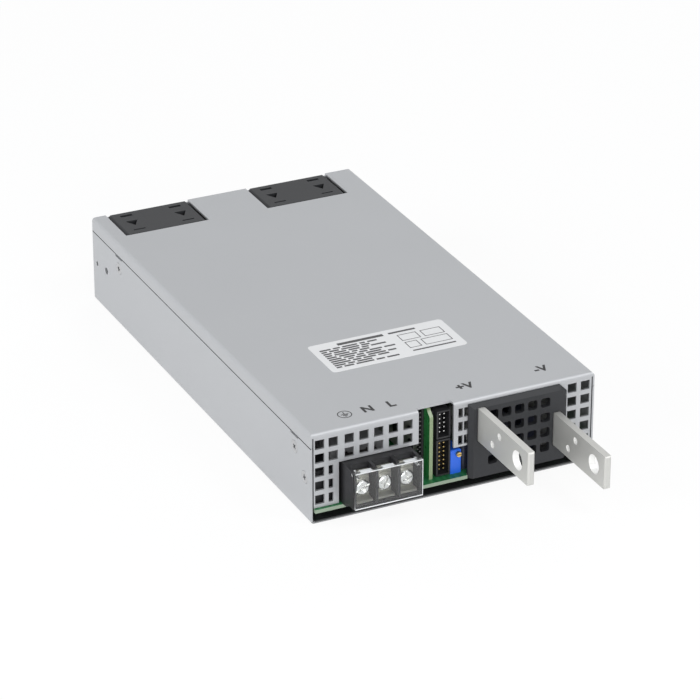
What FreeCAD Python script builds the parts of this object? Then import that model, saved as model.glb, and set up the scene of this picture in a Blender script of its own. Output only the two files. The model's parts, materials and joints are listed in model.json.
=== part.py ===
import FreeCAD, Part
import math
import operator
import os
import Sketcher
from FreeCAD import Vector

# A 1U enclosed AC-DC power supply: folded case, mains terminals and output bars in front, two fans behind.
# Millimetres. X runs to the right seen from the front, the front faces -Y and Z is up.
# The origin is the middle of the case's underside.

SIZES = {
    # Folded sheet case
    "sheet_thickness": 1.0,
    "bend_radius": 0.6,
    "case_length": 236.0,
    "seam_drop": 6.2,
    "seam_gap": 0.25,
    "slide_gap": 0.2,
    # Front, from left to right
    "left_leg_width": 12.7,
    "block_gap": 1.3,
    "block_to_window": 3.7,
    "window_width": 16.2,
    "strip_width": 6.3,
    "insulator_width": 46.0,
    "right_leg_width": 13.6,
    # Front flange and its vents
    "window_depth": 3.1,
    "strip_gap": 0.4,
    "short_strip_drop": 20.7,
    "flange_lift": 0.2,
    "vent_side": 4.2,
    "vent_drop": 5.1,
    "vent_row_pitch": 6.3,
    "vent_edge": 0.8,
    "leg_vent_inset": 4.1,
    "leg_vent_pitch": 6.1,
    "strip_vent_inset": 4.7,
    "strip_vent_pitch": 6.65,
    "slot_vent_width": 2.1,
    "slot_vent_inset": 2.05,
    "slot_vent_pitch": 2.65,
    "right_vent_inset": 4.4,
    "right_vent_pitch": 6.2,
    "right_vent_columns": 2,
    # Cover tabs and their screws
    "tab_width": 7.6,
    "tab_drop": 17.0,
    "tab_lap": 1.6,
    "tab_notch": 0.9,
    "tab_front_setback": 15.5,
    "tab_rear_setback": 31.4,
    "cover_screw_drop": 12.4,
    "return_depth": 9.0,
    "return_height": 10.0,
    "return_screw_setback": 5.9,
    "return_screw_height": 19.1,
    "countersink_radius": 2.9,
    # Holes in the sides for fixing the case
    "side_hole_radius": 1.65,
    "side_hole_setback": 16.1,
    "side_hole_height": 21.0,
    "tooling_hole_radius": 1.1,
    "tooling_hole_setback": 4.8,
    "tooling_hole_height": 20.0,
    # Main board and what carries it
    "board_height": 5.2,
    "board_thickness": 1.6,
    "board_overhang": 1.3,
    "board_side_gap": 0.5,
    "board_fan_gap": 6.0,
    "standoff_radius": 2.75,
    "standoff_inset": 7.0,
    "standoff_end_inset": 14.0,
    "standoff_rows": 3,
    "standoff_gap": 0.6,
    "insulation_thickness": 0.4,
    "insulation_gap": 0.8,
    # Mains terminal block
    "terminal_count": 3,
    "terminal_pitch": 10.0,
    "block_wall": 1.2,
    "block_projection": 10.8,
    "block_face_projection": 4.0,
    "block_rear": 4.0,
    "block_height": 18.8,
    "shelf_rise": 1.9,
    "shelf_thickness": 1.5,
    "plate_thickness": 1.0,
    "plate_width": 8.0,
    "plate_height": 12.6,
    "plate_foot": 4.0,
    "washer_thickness": 0.8,
    "washer_margin": 0.3,
    "terminal_screw_rise": 9.5,
    "terminal_screw_radius": 1.9,
    "terminal_screw_depth": 5.0,
    "terminal_head_radius": 3.4,
    "terminal_head_height": 2.2,
    "terminal_slot_width": 1.1,
    "terminal_slot_depth": 1.1,
    "turning_gap": 0.06,
    # Clear flip cover over the terminals
    "flip_gap": 0.3,
    "flip_thickness": 1.1,
    "flip_lift": 0.4,
    "flip_reach": 1.6,
    "flip_pin_radius": 0.8,
    "flip_ear": 1.0,
    "flip_lug_width": 5.4,
    "flip_lug_depth": 1.4,
    # Control board, headers and trimmer
    "control_inset": 6.0,
    "control_thickness": 1.6,
    "control_setback": 2.0,
    "control_length": 56.0,
    "control_drop": 2.3,
    "control_chamfer": 3.0,
    "header_standoff": 1.7,
    "header_width": 6.4,
    "header_depth": 8.5,
    "header_wall": 0.7,
    "header_cavity": 6.3,
    "header_end": 2.4,
    "header_lift": 0.6,
    "header_spacing": 0.6,
    "pin_pitch": 2.0,
    "pin_side": 0.5,
    "pin_length": 4.6,
    "signal_rows": 5,
    "option_rows": 7,
    "trimmer_gap": 0.4,
    "trimmer_setback": 2.4,
    "trimmer_width": 4.8,
    "trimmer_depth": 9.5,
    "trimmer_height": 11.0,
    "trimmer_screw_radius": 1.1,
    "trimmer_screw_projection": 1.4,
    "trimmer_screw_depth": 3.0,
    "trimmer_screw_drop": 1.9,
    "trimmer_screw_offset": 1.0,
    "trimmer_slot_width": 0.5,
    # Output bars
    "bar_thickness": 3.0,
    "bar_height": 15.0,
    "bar_projection": 46.0,
    "bar_inset": 3.7,
    "positive_bar_rise": 23.2,
    "negative_bar_rise": 13.2,
    "bar_foot_setback": 8.0,
    "bar_foot_length": 16.0,
    "bar_chamfer": 0.6,
    "bolt_hole_radius": 4.2,
    "bolt_hole_inset": 9.3,
    "sense_hole_radius": 1.6,
    "sense_hole_inset": 24.9,
    "sense_hole_step": 6.0,
    "sense_hole_offset": 3.2,
    # Moulded insulator round the bars
    "insulator_thickness": 2.5,
    "insulator_drop": 1.8,
    "insulator_chamfer": 3.2,
    "insulator_bevel": 1.4,
    "insulator_overlap": 1.6,
    "bar_slot_gap": 0.3,
    "grid_vent_width": 4.4,
    "grid_vent_height": 4.2,
    "grid_vent_inset": 10.8,
    "grid_vent_drop": 5.9,
    "grid_row_pitch": 6.95,
    "grid_columns": 5,
    "grid_rows": 4,
    # Fans and the grilles behind them
    "fan_side": 40.0,
    "fan_depth": 23.5,
    "fan_gap": 0.4,
    "left_fan_inset": 7.1,
    "right_fan_inset": 13.7,
    "fan_corner": 1.5,
    "fan_wall": 1.2,
    "fan_hole_inset": 4.0,
    "fan_screw_radius": 1.6,
    "fan_slot_length": 5.8,
    "fan_slot_width": 1.8,
    "fan_thin_slot_width": 0.9,
    "fan_slot_offset": 12.0,
    "fan_flange": 2.6,
    "fan_pocket_start": 9.6,
    "fan_pocket_length": 5.2,
    "fan_pocket_depth": 3.0,
    "strut_width": 2.2,
    "strut_depth": 3.0,
    "motor_radius": 10.0,
    "hub_radius": 9.8,
    "hub_front_gap": 1.2,
    "hub_rear_gap": 0.6,
    "blade_count": 5,
    "blade_thickness": 0.8,
    "blade_chord": 16.0,
    "blade_angle": 48.0,
    "blade_tip_gap": 0.6,
    "blade_reach_ratio": 0.94,
    "fan_shaft_radius": 1.5,
    "bearing_gap": 0.05,
    "grille_side": 5.8,
    "grille_pitch": 7.4,
    "grille_count": 4,
    # Blank label
    "label_width": 63.4,
    "label_length": 26.6,
    "label_thickness": 0.15,
    "label_inset": 32.3,
    "label_setback": 46.4,
    # Parts on the main board
    "roof_gap": 1.5,
    "component_gap": 3.0,
    "fuse_width": 4.4,
    "fuse_length": 8.4,
    "fuse_height": 7.8,
    "component_ease": 0.5,
    "choke_width": 25.0,
    "choke_depth": 13.0,
    "choke_height": 20.0,
    "filter_capacitor_width": 26.0,
    "filter_capacitor_depth": 10.0,
    "filter_capacitor_height": 18.0,
    "relay_width": 10.0,
    "relay_length": 28.0,
    "relay_height": 15.0,
    "heatsink_web": 3.0,
    "heatsink_depth": 13.0,
    "heatsink_fin": 1.4,
    "heatsink_fin_pitch": 4.6,
    "heatsink_fins": 6,
    "primary_heatsink_length": 76.0,
    "output_heatsink_length": 60.0,
    "package_width": 16.0,
    "package_height": 20.0,
    "package_depth": 4.8,
    "package_lift": 4.0,
    "package_pitch": 18.5,
    "transistor_count": 3,
    "rectifier_count": 3,
    "boost_choke_width": 33.0,
    "boost_choke_depth": 20.0,
    "boost_choke_height": 28.0,
    "bulk_capacitor_radius": 12.4,
    "bulk_capacitor_count": 2,
    "transformer_width": 40.0,
    "transformer_depth": 18.0,
    "core_leg_ratio": 0.16,
    "core_window_ratio": 0.18,
    "winding_gap": 0.4,
    "winding_build": 5.0,
    "standby_length": 16.0,
    "standby_height": 15.0,
    "output_choke_length": 18.0,
    "output_choke_height": 20.0,
    "output_capacitor_length": 18.0,
    "output_capacitor_height": 15.0,
    "output_capacitor_count": 3,
}

# How far a cut runs past the face that it goes through
THROUGH = 1.0
NEAR = 0.01
# Degrees by which a countersunk hole narrows inwards
COUNTERSINK = -45
OPERATIONS = {"+": operator.add, "-": operator.sub, "*": operator.mul, "/": operator.truediv}
# The origin plane square to each axis, and which way its sketches face along that axis
PLANES = {"X": ("YZ_Plane", 1), "Y": ("XZ_Plane", -1), "Z": ("XY_Plane", 1)}
AXES = {"X": Vector(1, 0, 0), "Y": Vector(0, 1, 0), "Z": Vector(0, 0, 1)}


class Size:
    """A number together with the sheet expression that gives it."""

    def __init__(self, value, text):
        self.value = value
        self.text = text

    def __add__(self, other):
        return combine(self, "+", other)

    def __radd__(self, other):
        return combine(other, "+", self)

    def __sub__(self, other):
        return combine(self, "-", other)

    def __rsub__(self, other):
        return combine(other, "-", self)

    def __mul__(self, other):
        return combine(self, "*", other)

    def __rmul__(self, other):
        return combine(other, "*", self)

    def __truediv__(self, other):
        return combine(self, "/", other)

    def __neg__(self):
        return combine(0, "-", self)


def as_size(number):
    return number if isinstance(number, Size) else Size(number, repr(number))


def combine(first, sign, second):
    first = as_size(first)
    second = as_size(second)
    value = OPERATIONS[sign](first.value, second.value)
    return Size(value, f"({first.text} {sign} {second.text})")


def whole(size):
    """The size rounded down, for counts."""
    return Size(math.floor(size.value), f"floor({size.text})")


def sine(angle):
    return Size(math.sin(math.radians(angle.value)), f"sin({angle.text} * 1deg)")


def cosine(angle):
    return Size(math.cos(math.radians(angle.value)), f"cos({angle.text} * 1deg)")


# Document and sheet of driving sizes
doc = FreeCAD.newDocument("power_supply")
sheet = doc.addObject("Spreadsheet::Sheet", "Sizes")
for row, (alias, number) in enumerate(SIZES.items(), 1):
    sheet.set(f"A{row}", alias)
    sheet.set(f"B{row}", str(number))
    sheet.setAlias(f"B{row}", alias)
doc.recompute()
pieces = []


def size(name):
    return Size(SIZES[name], f"Sizes.{name}")


def piece(name):
    """A new sub-part, built feature by feature."""
    body = doc.addObject("PartDesign::Body", name)
    body.Label = name
    pieces.append(body)
    return body


def place(item, x, y, z):
    for letter, value in zip("xyz", (x, y, z)):
        item.setExpression(f"Placement.Base.{letter}", as_size(value).text)


# Sketch outlines


def hold(sketch, kind, geometry, point, value):
    """Fixes one coordinate of a sketch point from the origin, by its sheet expression."""
    value = as_size(value)
    index = sketch.addConstraint(Sketcher.Constraint(kind, -1, 1, geometry, point, value.value))
    sketch.setExpression(f"Constraints[{index}]", value.text)


def outline(*points):
    """A closed run of straight lines through the points."""
    points = [(as_size(x), as_size(y)) for x, y in points]

    def draw(sketch):
        first = sketch.GeometryCount
        count = len(points)
        corners = [Vector(x.value, y.value, 0) for x, y in points]
        for start, end in zip(corners, corners[1:] + corners[:1]):
            sketch.addGeometry(Part.LineSegment(start, end))
        for step, (x, y) in enumerate(points):
            following = first + (step + 1) % count
            sketch.addConstraint(Sketcher.Constraint("Coincident", first + step, 2, following, 1))
            hold(sketch, "DistanceX", first + step, 1, x)
            hold(sketch, "DistanceY", first + step, 1, y)

    return draw


def rectangle(left, bottom, width, height):
    right = left + width
    top = bottom + height
    return outline((left, bottom), (right, bottom), (right, top), (left, top))


def square(x, y, side):
    return rectangle(x - side / 2, y - side / 2, side, side)


def disc(x, y, radius):
    x, y, radius = as_size(x), as_size(y), as_size(radius)

    def draw(sketch):
        number = sketch.GeometryCount
        sketch.addGeometry(Part.Circle(Vector(x.value, y.value, 0), AXES["Z"], radius.value))
        hold(sketch, "DistanceX", number, 3, x)
        hold(sketch, "DistanceY", number, 3, y)
        index = sketch.addConstraint(Sketcher.Constraint("Radius", number, radius.value))
        sketch.setExpression(f"Constraints[{index}]", radius.text)

    return draw


# Features of a body


def origin_feature(body, role):
    return next(feature for feature in body.Origin.OriginFeatures if feature.Role == role)


def sketch_across(body, axis, height, shapes):
    """A sketch square to the axis, at that height along it."""
    role, sense = PLANES[axis]
    sketch = body.newObject("Sketcher::SketchObject", "outline")
    sketch.AttachmentSupport = [(origin_feature(body, role), "")]
    sketch.MapMode = "FlatFace"
    sketch.setExpression("AttachmentOffset.Base.z", (as_size(height) * sense).text)
    for draw in shapes:
        draw(sketch)
    return sketch


def add(body, axis, low, high, *shapes):
    """Pads the shapes from low to high along the axis."""
    start = high if axis == "Y" else low
    feature = body.newObject("PartDesign::Pad", "pad")
    feature.Profile = sketch_across(body, axis, start, shapes)
    feature.setExpression("Length", as_size(high - low).text)
    body.Tip = feature
    doc.recompute()
    return feature


def cut(body, axis, low, high, *shapes, backwards=False, taper=0):
    """Pockets the shapes from low to high along the axis, or backwards, with the sketch at the other end."""
    volume = body.Shape.Volume
    start = low if (axis == "Y") != backwards else high
    feature = body.newObject("PartDesign::Pocket", "pocket")
    feature.Profile = sketch_across(body, axis, start, shapes)
    feature.Reversed = backwards
    feature.TaperAngle = taper
    feature.setExpression("Length", as_size(high - low).text)
    body.Tip = feature
    doc.recompute()
    if feature.Shape.Volume >= volume:
        raise RuntimeError(f"a pocket of {body.Label} cuts nothing")
    return feature


def repeat(body, feature, across=None, up=None, down=None):
    """Copies a feature along its sketch's own axes, each way given as a pitch and a count."""
    pattern = body.newObject("PartDesign::LinearPattern", "pattern")
    pattern.Originals = [feature]
    sketch = feature.Profile[0]
    ways = [("H_Axis", across, False), ("V_Axis", up, False), ("V_Axis", down, True)]
    ways = [way for way in ways if way[1]]
    for suffix, (line, (pitch, count), backwards) in zip(("", "2"), ways):
        count = as_size(count)
        setattr(pattern, "Direction" + suffix, (sketch, [line]))
        setattr(pattern, "Mode" + suffix, "Spacing")
        setattr(pattern, "Reversed" + suffix, backwards)
        setattr(pattern, "Occurrences" + suffix, int(count.value))
        setattr(pattern, "Spacings" + suffix, [-1.0] * (int(count.value) - 1))
        pattern.setExpression("Occurrences" + suffix, count.text)
        pattern.setExpression("Offset" + suffix, pitch.text)
    body.Tip = pattern
    doc.recompute()
    return pattern


def near(first, second):
    return abs(first - as_size(second).value) < NEAR


def dress(body, kind, amount, chosen):
    """Fillets or chamfers the edges that the test on their middle picks."""
    base = body.Tip
    names = [f"Edge{number}" for number, edge in enumerate(base.Shape.Edges, 1) if chosen(edge.CenterOfMass)]
    feature = body.newObject(f"PartDesign::{kind}", kind.lower())
    feature.Base = (base, names)
    feature.setExpression("Radius" if kind == "Fillet" else "Size", amount.text)
    body.Tip = feature
    doc.recompute()
    return feature


# Shared places

sheet_thickness = size("sheet_thickness")
fan_side = size("fan_side")
case_height = fan_side + sheet_thickness
case_length = size("case_length")
block_width = size("terminal_count") * size("terminal_pitch") + size("block_wall")
left_part_width = size("left_leg_width") + size("block_gap") + block_width + size("block_to_window")
right_part_width = size("strip_width") + size("insulator_width") + size("right_leg_width")
case_width = left_part_width + size("window_width") + right_part_width
left = -(case_width / 2)
right = case_width / 2
front = -(case_length / 2)
rear = case_length / 2
inner_left = left + sheet_thickness
inner_right = right - sheet_thickness
roof = case_height - sheet_thickness
seam = case_height - size("seam_drop")
wall_top = seam - size("seam_gap")
outer_bend = size("bend_radius") + sheet_thickness

board_bottom = size("board_height")
board_top = board_bottom + size("board_thickness")
board_left = inner_left + size("board_side_gap")
board_right = inner_right - size("board_side_gap")
board_front = front - size("board_overhang")
fan_rear = rear - sheet_thickness
fan_front = fan_rear - size("fan_depth")
board_rear = fan_front - size("board_fan_gap")

leg_right = left + size("left_leg_width")
block_left = leg_right + size("block_gap")
window_left = left + left_part_width
window_right = window_left + size("window_width")
insulator_left = window_right + size("strip_width")
insulator_right = insulator_left + size("insulator_width")
insulator_top = case_height - size("insulator_drop")
block_top = board_top + size("block_height")

fan_middle = sheet_thickness + fan_side / 2
fan_places = {
    "left": left + size("left_fan_inset") + fan_side / 2,
    "right": right - size("right_fan_inset") - fan_side / 2,
}
fan_hole = fan_side / 2 - size("fan_hole_inset")
fan_corners = [(fan_hole * side, fan_hole * -side) for side in (-1, 1)]
fan_screw_places = [(x + across, fan_middle + up) for x in fan_places.values() for across, up in fan_corners]
fan_bore = fan_side / 2 - size("fan_wall")
tab_places = [front + size("tab_front_setback"), rear - size("tab_rear_setback")]
cover_screw_height = case_height - size("cover_screw_drop")
return_screw_place = front + size("return_screw_setback")
return_screw_height = size("return_screw_height")
standoff_left = board_left + size("standoff_inset")
standoff_right = board_right - size("standoff_inset")
standoff_front = board_front + size("standoff_end_inset")
standoff_pitch = (board_rear - size("standoff_end_inset") - standoff_front) / (size("standoff_rows") - 1)
negative_bar_left = insulator_right - size("bar_inset") - size("bar_thickness")
bar_places = {
    "positive": (insulator_left + size("bar_inset"), board_top + size("positive_bar_rise")),
    "negative": (negative_bar_left, board_top + size("negative_bar_rise")),
}


def chassis():
    """Floor, side walls and rear wall, folded from one sheet."""
    body = piece("chassis")
    profile = outline(
        (left, 0), (right, 0), (right, wall_top), (inner_right, wall_top),
        (inner_right, sheet_thickness), (inner_left, sheet_thickness),
        (inner_left, wall_top), (left, wall_top))
    add(body, "Y", front, rear, profile)
    dress(body, "Fillet", outer_bend, lambda middle: near(abs(middle.x), right) and near(middle.z, 0))
    dress(body, "Fillet", size("bend_radius"),
          lambda middle: near(abs(middle.x), inner_right) and near(middle.z, sheet_thickness))
    tongue_left = inner_left + size("slide_gap")
    tongue_right = inner_right - size("slide_gap")
    rear_wall = outline(
        (inner_left, 0), (inner_right, 0), (inner_right, wall_top), (tongue_right, wall_top),
        (tongue_right, roof), (tongue_left, roof), (tongue_left, wall_top), (inner_left, wall_top))
    add(body, "Y", fan_rear, rear, rear_wall)

    # Notches where the cover's tabs drop inside the walls
    notch_bottom = wall_top - size("tab_notch")
    notch_height = size("tab_notch") + THROUGH
    notches = [rectangle(y - size("tab_width") / 2, notch_bottom, size("tab_width"), notch_height)
               for y in tab_places]
    cut(body, "X", left - THROUGH, right + THROUGH, *notches)

    # Countersunk holes for the cover screws, then the plain holes of the sides
    screw_holes = [disc(y, cover_screw_height, size("countersink_radius")) for y in tab_places]
    screw_holes.append(disc(return_screw_place, return_screw_height, size("countersink_radius")))
    cut(body, "X", left, inner_left, *screw_holes, backwards=True, taper=COUNTERSINK)
    cut(body, "X", inner_right, right, *screw_holes, taper=COUNTERSINK)
    cut(body, "X", left - THROUGH, right + THROUGH,
        disc(rear - size("side_hole_setback"), size("side_hole_height"), size("side_hole_radius")))
    cut(body, "X", left - THROUGH, inner_left + THROUGH,
        disc(rear - size("tooling_hole_setback"), size("tooling_hole_height"), size("tooling_hole_radius")))

    # Grid of square holes behind each fan, and the fan screw holes at two of its corners
    pitch = size("grille_pitch")
    count = size("grille_count")
    span = pitch * (count - 1)
    through = (fan_rear - THROUGH, rear + THROUGH)
    for x in fan_places.values():
        hole = cut(body, "Y", *through, square(x - span / 2, fan_middle - span / 2, size("grille_side")))
        repeat(body, hole, across=(pitch, count), up=(pitch, count))
    cut(body, "Y", *through, *[disc(x, z, size("fan_screw_radius")) for x, z in fan_screw_places])


def top_cover():
    """Top plate, side lips, front flange and tabs, folded from one sheet."""
    body = piece("top_cover")
    profile = outline(
        (left, seam), (left, case_height), (right, case_height), (right, seam),
        (inner_right, seam), (inner_right, roof), (inner_left, roof), (inner_left, seam))
    add(body, "Y", front, rear, profile)
    flange_left = inner_left + size("slide_gap")
    flange_right = inner_right - size("slide_gap")
    flange_bottom = board_top + size("flange_lift")
    flange_back = front + sheet_thickness
    flange = outline(
        (flange_left, flange_bottom), (flange_right, flange_bottom), (flange_right, seam), (right, seam),
        (right, case_height), (left, case_height), (left, seam), (flange_left, seam))
    add(body, "Y", front, flange_back, flange)
    dress(body, "Fillet", outer_bend,
          lambda middle: near(middle.z, case_height)
          and (near(abs(middle.x), right) or near(middle.y, front)))

    # Openings of the flange: terminal block, control window, trimmer corner and bar insulator
    low = flange_bottom - THROUGH
    overlap = size("insulator_overlap")
    strip_bottom = block_top + size("strip_gap")
    short_strip_bottom = case_height - size("short_strip_drop")
    opening_left = insulator_left + overlap
    flange_cut = (front - THROUGH, flange_back + THROUGH)
    cut(body, "Y", *flange_cut, rectangle(leg_right, low, window_left - leg_right, strip_bottom - low))
    cut(body, "Y", front - THROUGH, front + size("window_depth"),
        rectangle(window_left, low, size("window_width"), case_height + THROUGH - low))
    cut(body, "Y", *flange_cut,
        rectangle(window_right, low, opening_left - window_right, short_strip_bottom - low))
    cut(body, "Y", *flange_cut,
        rectangle(opening_left, low, size("insulator_width") - overlap * 2, insulator_top - overlap - low))

    # Square vents: rows run down from the top edge as far as the metal below them
    side = size("vent_side")
    row_pitch = size("vent_row_pitch")
    top_row = case_height - size("vent_drop")

    def rows_above(bottom):
        room = top_row - side / 2 - size("vent_edge") - bottom
        return whole(room / row_pitch) + 1

    leg_rows = rows_above(flange_bottom)
    strip_rows = rows_above(strip_bottom)
    leg_vent = left + size("leg_vent_inset")
    second_vent = leg_vent + size("leg_vent_pitch")
    strip_vent = leg_right + size("strip_vent_inset")
    strip_room = window_left - side / 2 - size("vent_edge") - strip_vent
    strip_columns = whole(strip_room / size("strip_vent_pitch")) + 1
    vent = cut(body, "Y", *flange_cut, square(leg_vent, top_row, side))
    repeat(body, vent, down=(row_pitch, leg_rows))
    vent = cut(body, "Y", *flange_cut, square(second_vent, top_row, side))
    repeat(body, vent, down=(row_pitch, strip_rows))
    slot_top = top_row - row_pitch * strip_rows
    vent = cut(body, "Y", *flange_cut,
               rectangle(second_vent - side / 2, slot_top - side / 2, size("slot_vent_width"), side))
    repeat(body, vent, down=(row_pitch, leg_rows - strip_rows))
    vent = cut(body, "Y", *flange_cut, square(strip_vent, top_row, side))
    repeat(body, vent, across=(size("strip_vent_pitch"), strip_columns), down=(row_pitch, strip_rows))
    short_slot = window_right + size("slot_vent_inset")
    vent = cut(body, "Y", *flange_cut,
               rectangle(short_slot, top_row - side / 2, size("slot_vent_width"), side))
    repeat(body, vent, across=(size("slot_vent_pitch"), 2), down=(row_pitch, rows_above(short_strip_bottom)))
    right_columns = size("right_vent_columns")
    first_right_vent = right - size("right_vent_inset") - size("right_vent_pitch") * (right_columns - 1)
    vent = cut(body, "Y", *flange_cut, square(first_right_vent, top_row, side))
    repeat(body, vent, across=(size("right_vent_pitch"), right_columns), down=(row_pitch, leg_rows))

    # Notches of the top plate over the fans
    gap = size("fan_gap")
    notch_width = fan_side + gap * 2
    notch_front = fan_front - gap
    cut(body, "Z", roof - THROUGH, case_height + THROUGH,
        *[rectangle(x - notch_width / 2, notch_front, notch_width, rear + THROUGH - notch_front)
          for x in fan_places.values()])

    # Tabs behind the side walls for the cover screws
    tab_bottom = case_height - size("tab_drop")
    tab_height = seam + size("tab_lap") - tab_bottom
    tab_width = size("tab_width")
    tabs = [rectangle(y - tab_width / 2, tab_bottom, tab_width, tab_height) for y in tab_places]
    tabs.append(rectangle(front, return_screw_height - size("return_height") / 2,
                          size("return_depth"), size("return_height")))
    for low_side in (inner_left, inner_right - sheet_thickness):
        add(body, "X", low_side, low_side + sheet_thickness, *tabs)


def hexagon(x, y, radius):
    """Six-sided outline with a corner at each side."""
    half = radius / 2
    rise = radius * math.sqrt(0.75)
    return outline((x + radius, y), (x + half, y + rise), (x - half, y + rise),
                   (x - radius, y), (x - half, y - rise), (x + half, y - rise))


def main_board():
    """Main circuit board on six-sided stand-offs, with an insulating sheet under it."""
    board = piece("main_board")
    add(board, "Z", board_bottom, board_top,
        rectangle(board_left, board_front, board_right - board_left, board_rear - board_front))
    side_gap = size("bar_slot_gap")
    cut(board, "Z", board_bottom - THROUGH, board_top + THROUGH,
        rectangle(insulator_left - side_gap, board_front - THROUGH,
                  size("insulator_width") + side_gap * 2, size("board_overhang") + THROUGH))
    columns = (standoff_right - standoff_left, 2)
    rows = (standoff_pitch, size("standoff_rows"))
    standoffs = piece("board_standoffs")
    post = add(standoffs, "Z", sheet_thickness, board_bottom,
               hexagon(standoff_left, standoff_front, size("standoff_radius")))
    repeat(standoffs, post, across=columns, up=rows)

    gap = size("insulation_gap")
    insulation = piece("insulation_sheet")
    sheet_top = sheet_thickness + size("insulation_thickness")
    sheet_width = inner_right - inner_left - gap * 2
    add(insulation, "Z", sheet_thickness, sheet_top,
        rectangle(inner_left + gap, front + gap, sheet_width, fan_front - front - gap * 2))
    clear_side = (size("standoff_radius") + size("standoff_gap")) * 2
    clear = cut(insulation, "Z", sheet_thickness - THROUGH, sheet_top + THROUGH,
                square(standoff_left, standoff_front, clear_side))
    repeat(insulation, clear, across=columns, up=rows)


# Mains terminals

pitch = size("terminal_pitch")
ways = size("terminal_count")
block_right = block_left + block_width
block_front = front - size("block_projection")
block_face = front - size("block_face_projection")
shelf_bottom = board_top + size("shelf_rise")
shelf_top = shelf_bottom + size("shelf_thickness")
plate_front = block_face - size("plate_thickness")
washer_front = plate_front - size("washer_thickness")
first_way = block_left + (size("block_wall") + pitch) / 2
terminal_screw_height = board_top + size("terminal_screw_rise")
flip_axis_y = block_front + size("flip_reach")
flip_axis_z = block_top - size("flip_reach")


def terminal_block():
    """Barrier block: back wall and shelf in one section, with partitions between the ways."""
    body = piece("terminal_block")
    back = front + size("block_rear")
    section = outline(
        (back, board_top), (block_face, board_top), (block_face, shelf_bottom), (block_front, shelf_bottom),
        (block_front, shelf_top), (block_face, shelf_top), (block_face, block_top), (back, block_top))
    add(body, "X", block_left, block_right, section)
    wall = size("block_wall")
    barrier = add(body, "X", block_left, block_left + wall,
                  rectangle(block_front, shelf_bottom, block_face - block_front, block_top - shelf_bottom))
    pattern = body.newObject("PartDesign::LinearPattern", "barriers")
    pattern.Originals = [barrier]
    pattern.Direction = (origin_feature(body, "X_Axis"), [""])
    pattern.Mode = "Spacing"
    pattern.setExpression("Occurrences", (ways + 1).text)
    pattern.setExpression("Offset", pitch.text)
    body.Tip = pattern
    doc.recompute()
    dress(body, "Fillet", size("flip_reach"),
          lambda middle: near(middle.y, block_front) and near(middle.z, block_top))
    hole_radius = size("terminal_screw_radius") + size("turning_gap")
    hole_depth = size("terminal_screw_depth") + size("turning_gap")
    hole = cut(body, "Y", block_face - THROUGH / 2, block_face + hole_depth,
               disc(first_way, terminal_screw_height, hole_radius))
    repeat(body, hole, across=(pitch, ways))
    pivot = disc(flip_axis_y, flip_axis_z, size("flip_pin_radius") + size("turning_gap"))
    cut(body, "X", block_left - THROUGH, block_left + wall + THROUGH, pivot)
    cut(body, "X", block_right - wall - THROUGH, block_right + THROUGH, pivot)


def terminal_plates():
    """Terminal plates with a forward foot and a square washer under each screw head."""
    body = piece("terminal_plates")
    width = size("plate_width")
    foot_front = plate_front - size("plate_foot")
    foot_top = shelf_top + size("plate_thickness")
    plate_top = shelf_top + size("plate_height")
    section = outline(
        (block_face, shelf_top), (block_face, plate_top), (plate_front, plate_top), (plate_front, foot_top),
        (foot_front, foot_top), (foot_front, shelf_top))
    add(body, "X", first_way - width / 2, first_way + width / 2, section)
    washer_side = width - size("washer_margin") * 2
    add(body, "Y", washer_front, plate_front, square(first_way, terminal_screw_height, washer_side))
    cut(body, "Y", washer_front - THROUGH / 2, block_face + THROUGH,
        disc(first_way, terminal_screw_height, size("terminal_screw_radius") + size("turning_gap")))
    features = [item for item in body.Group if not item.isDerivedFrom("Sketcher::SketchObject")]
    pattern = body.newObject("PartDesign::LinearPattern", "plates")
    pattern.Originals = features
    pattern.Direction = (origin_feature(body, "X_Axis"), [""])
    pattern.Mode = "Spacing"
    pattern.setExpression("Occurrences", ways.text)
    pattern.setExpression("Offset", pitch.text)
    body.Tip = pattern
    doc.recompute()


def terminal_screw(name, number):
    """Pan-head screw with crossed slots, turning in its way of the block."""
    body = piece(name)
    x = first_way + pitch * number
    head_back = washer_front - size("turning_gap")
    head_front = head_back - size("terminal_head_height")
    z = terminal_screw_height
    add(body, "Y", head_front, head_back, disc(x, z, size("terminal_head_radius")))
    screw_end = block_face + size("terminal_screw_depth")
    add(body, "Y", head_back, screw_end, disc(x, z, size("terminal_screw_radius")))
    width = size("terminal_slot_width")
    length = size("terminal_head_radius") * 2 - width * 2
    slot_end = head_front + size("terminal_slot_depth")
    cut(body, "Y", head_front - THROUGH, slot_end, rectangle(x - length / 2, z - width / 2, length, width))
    cut(body, "Y", head_front - THROUGH, slot_end, rectangle(x - width / 2, z - length / 2, width, length))


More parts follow.
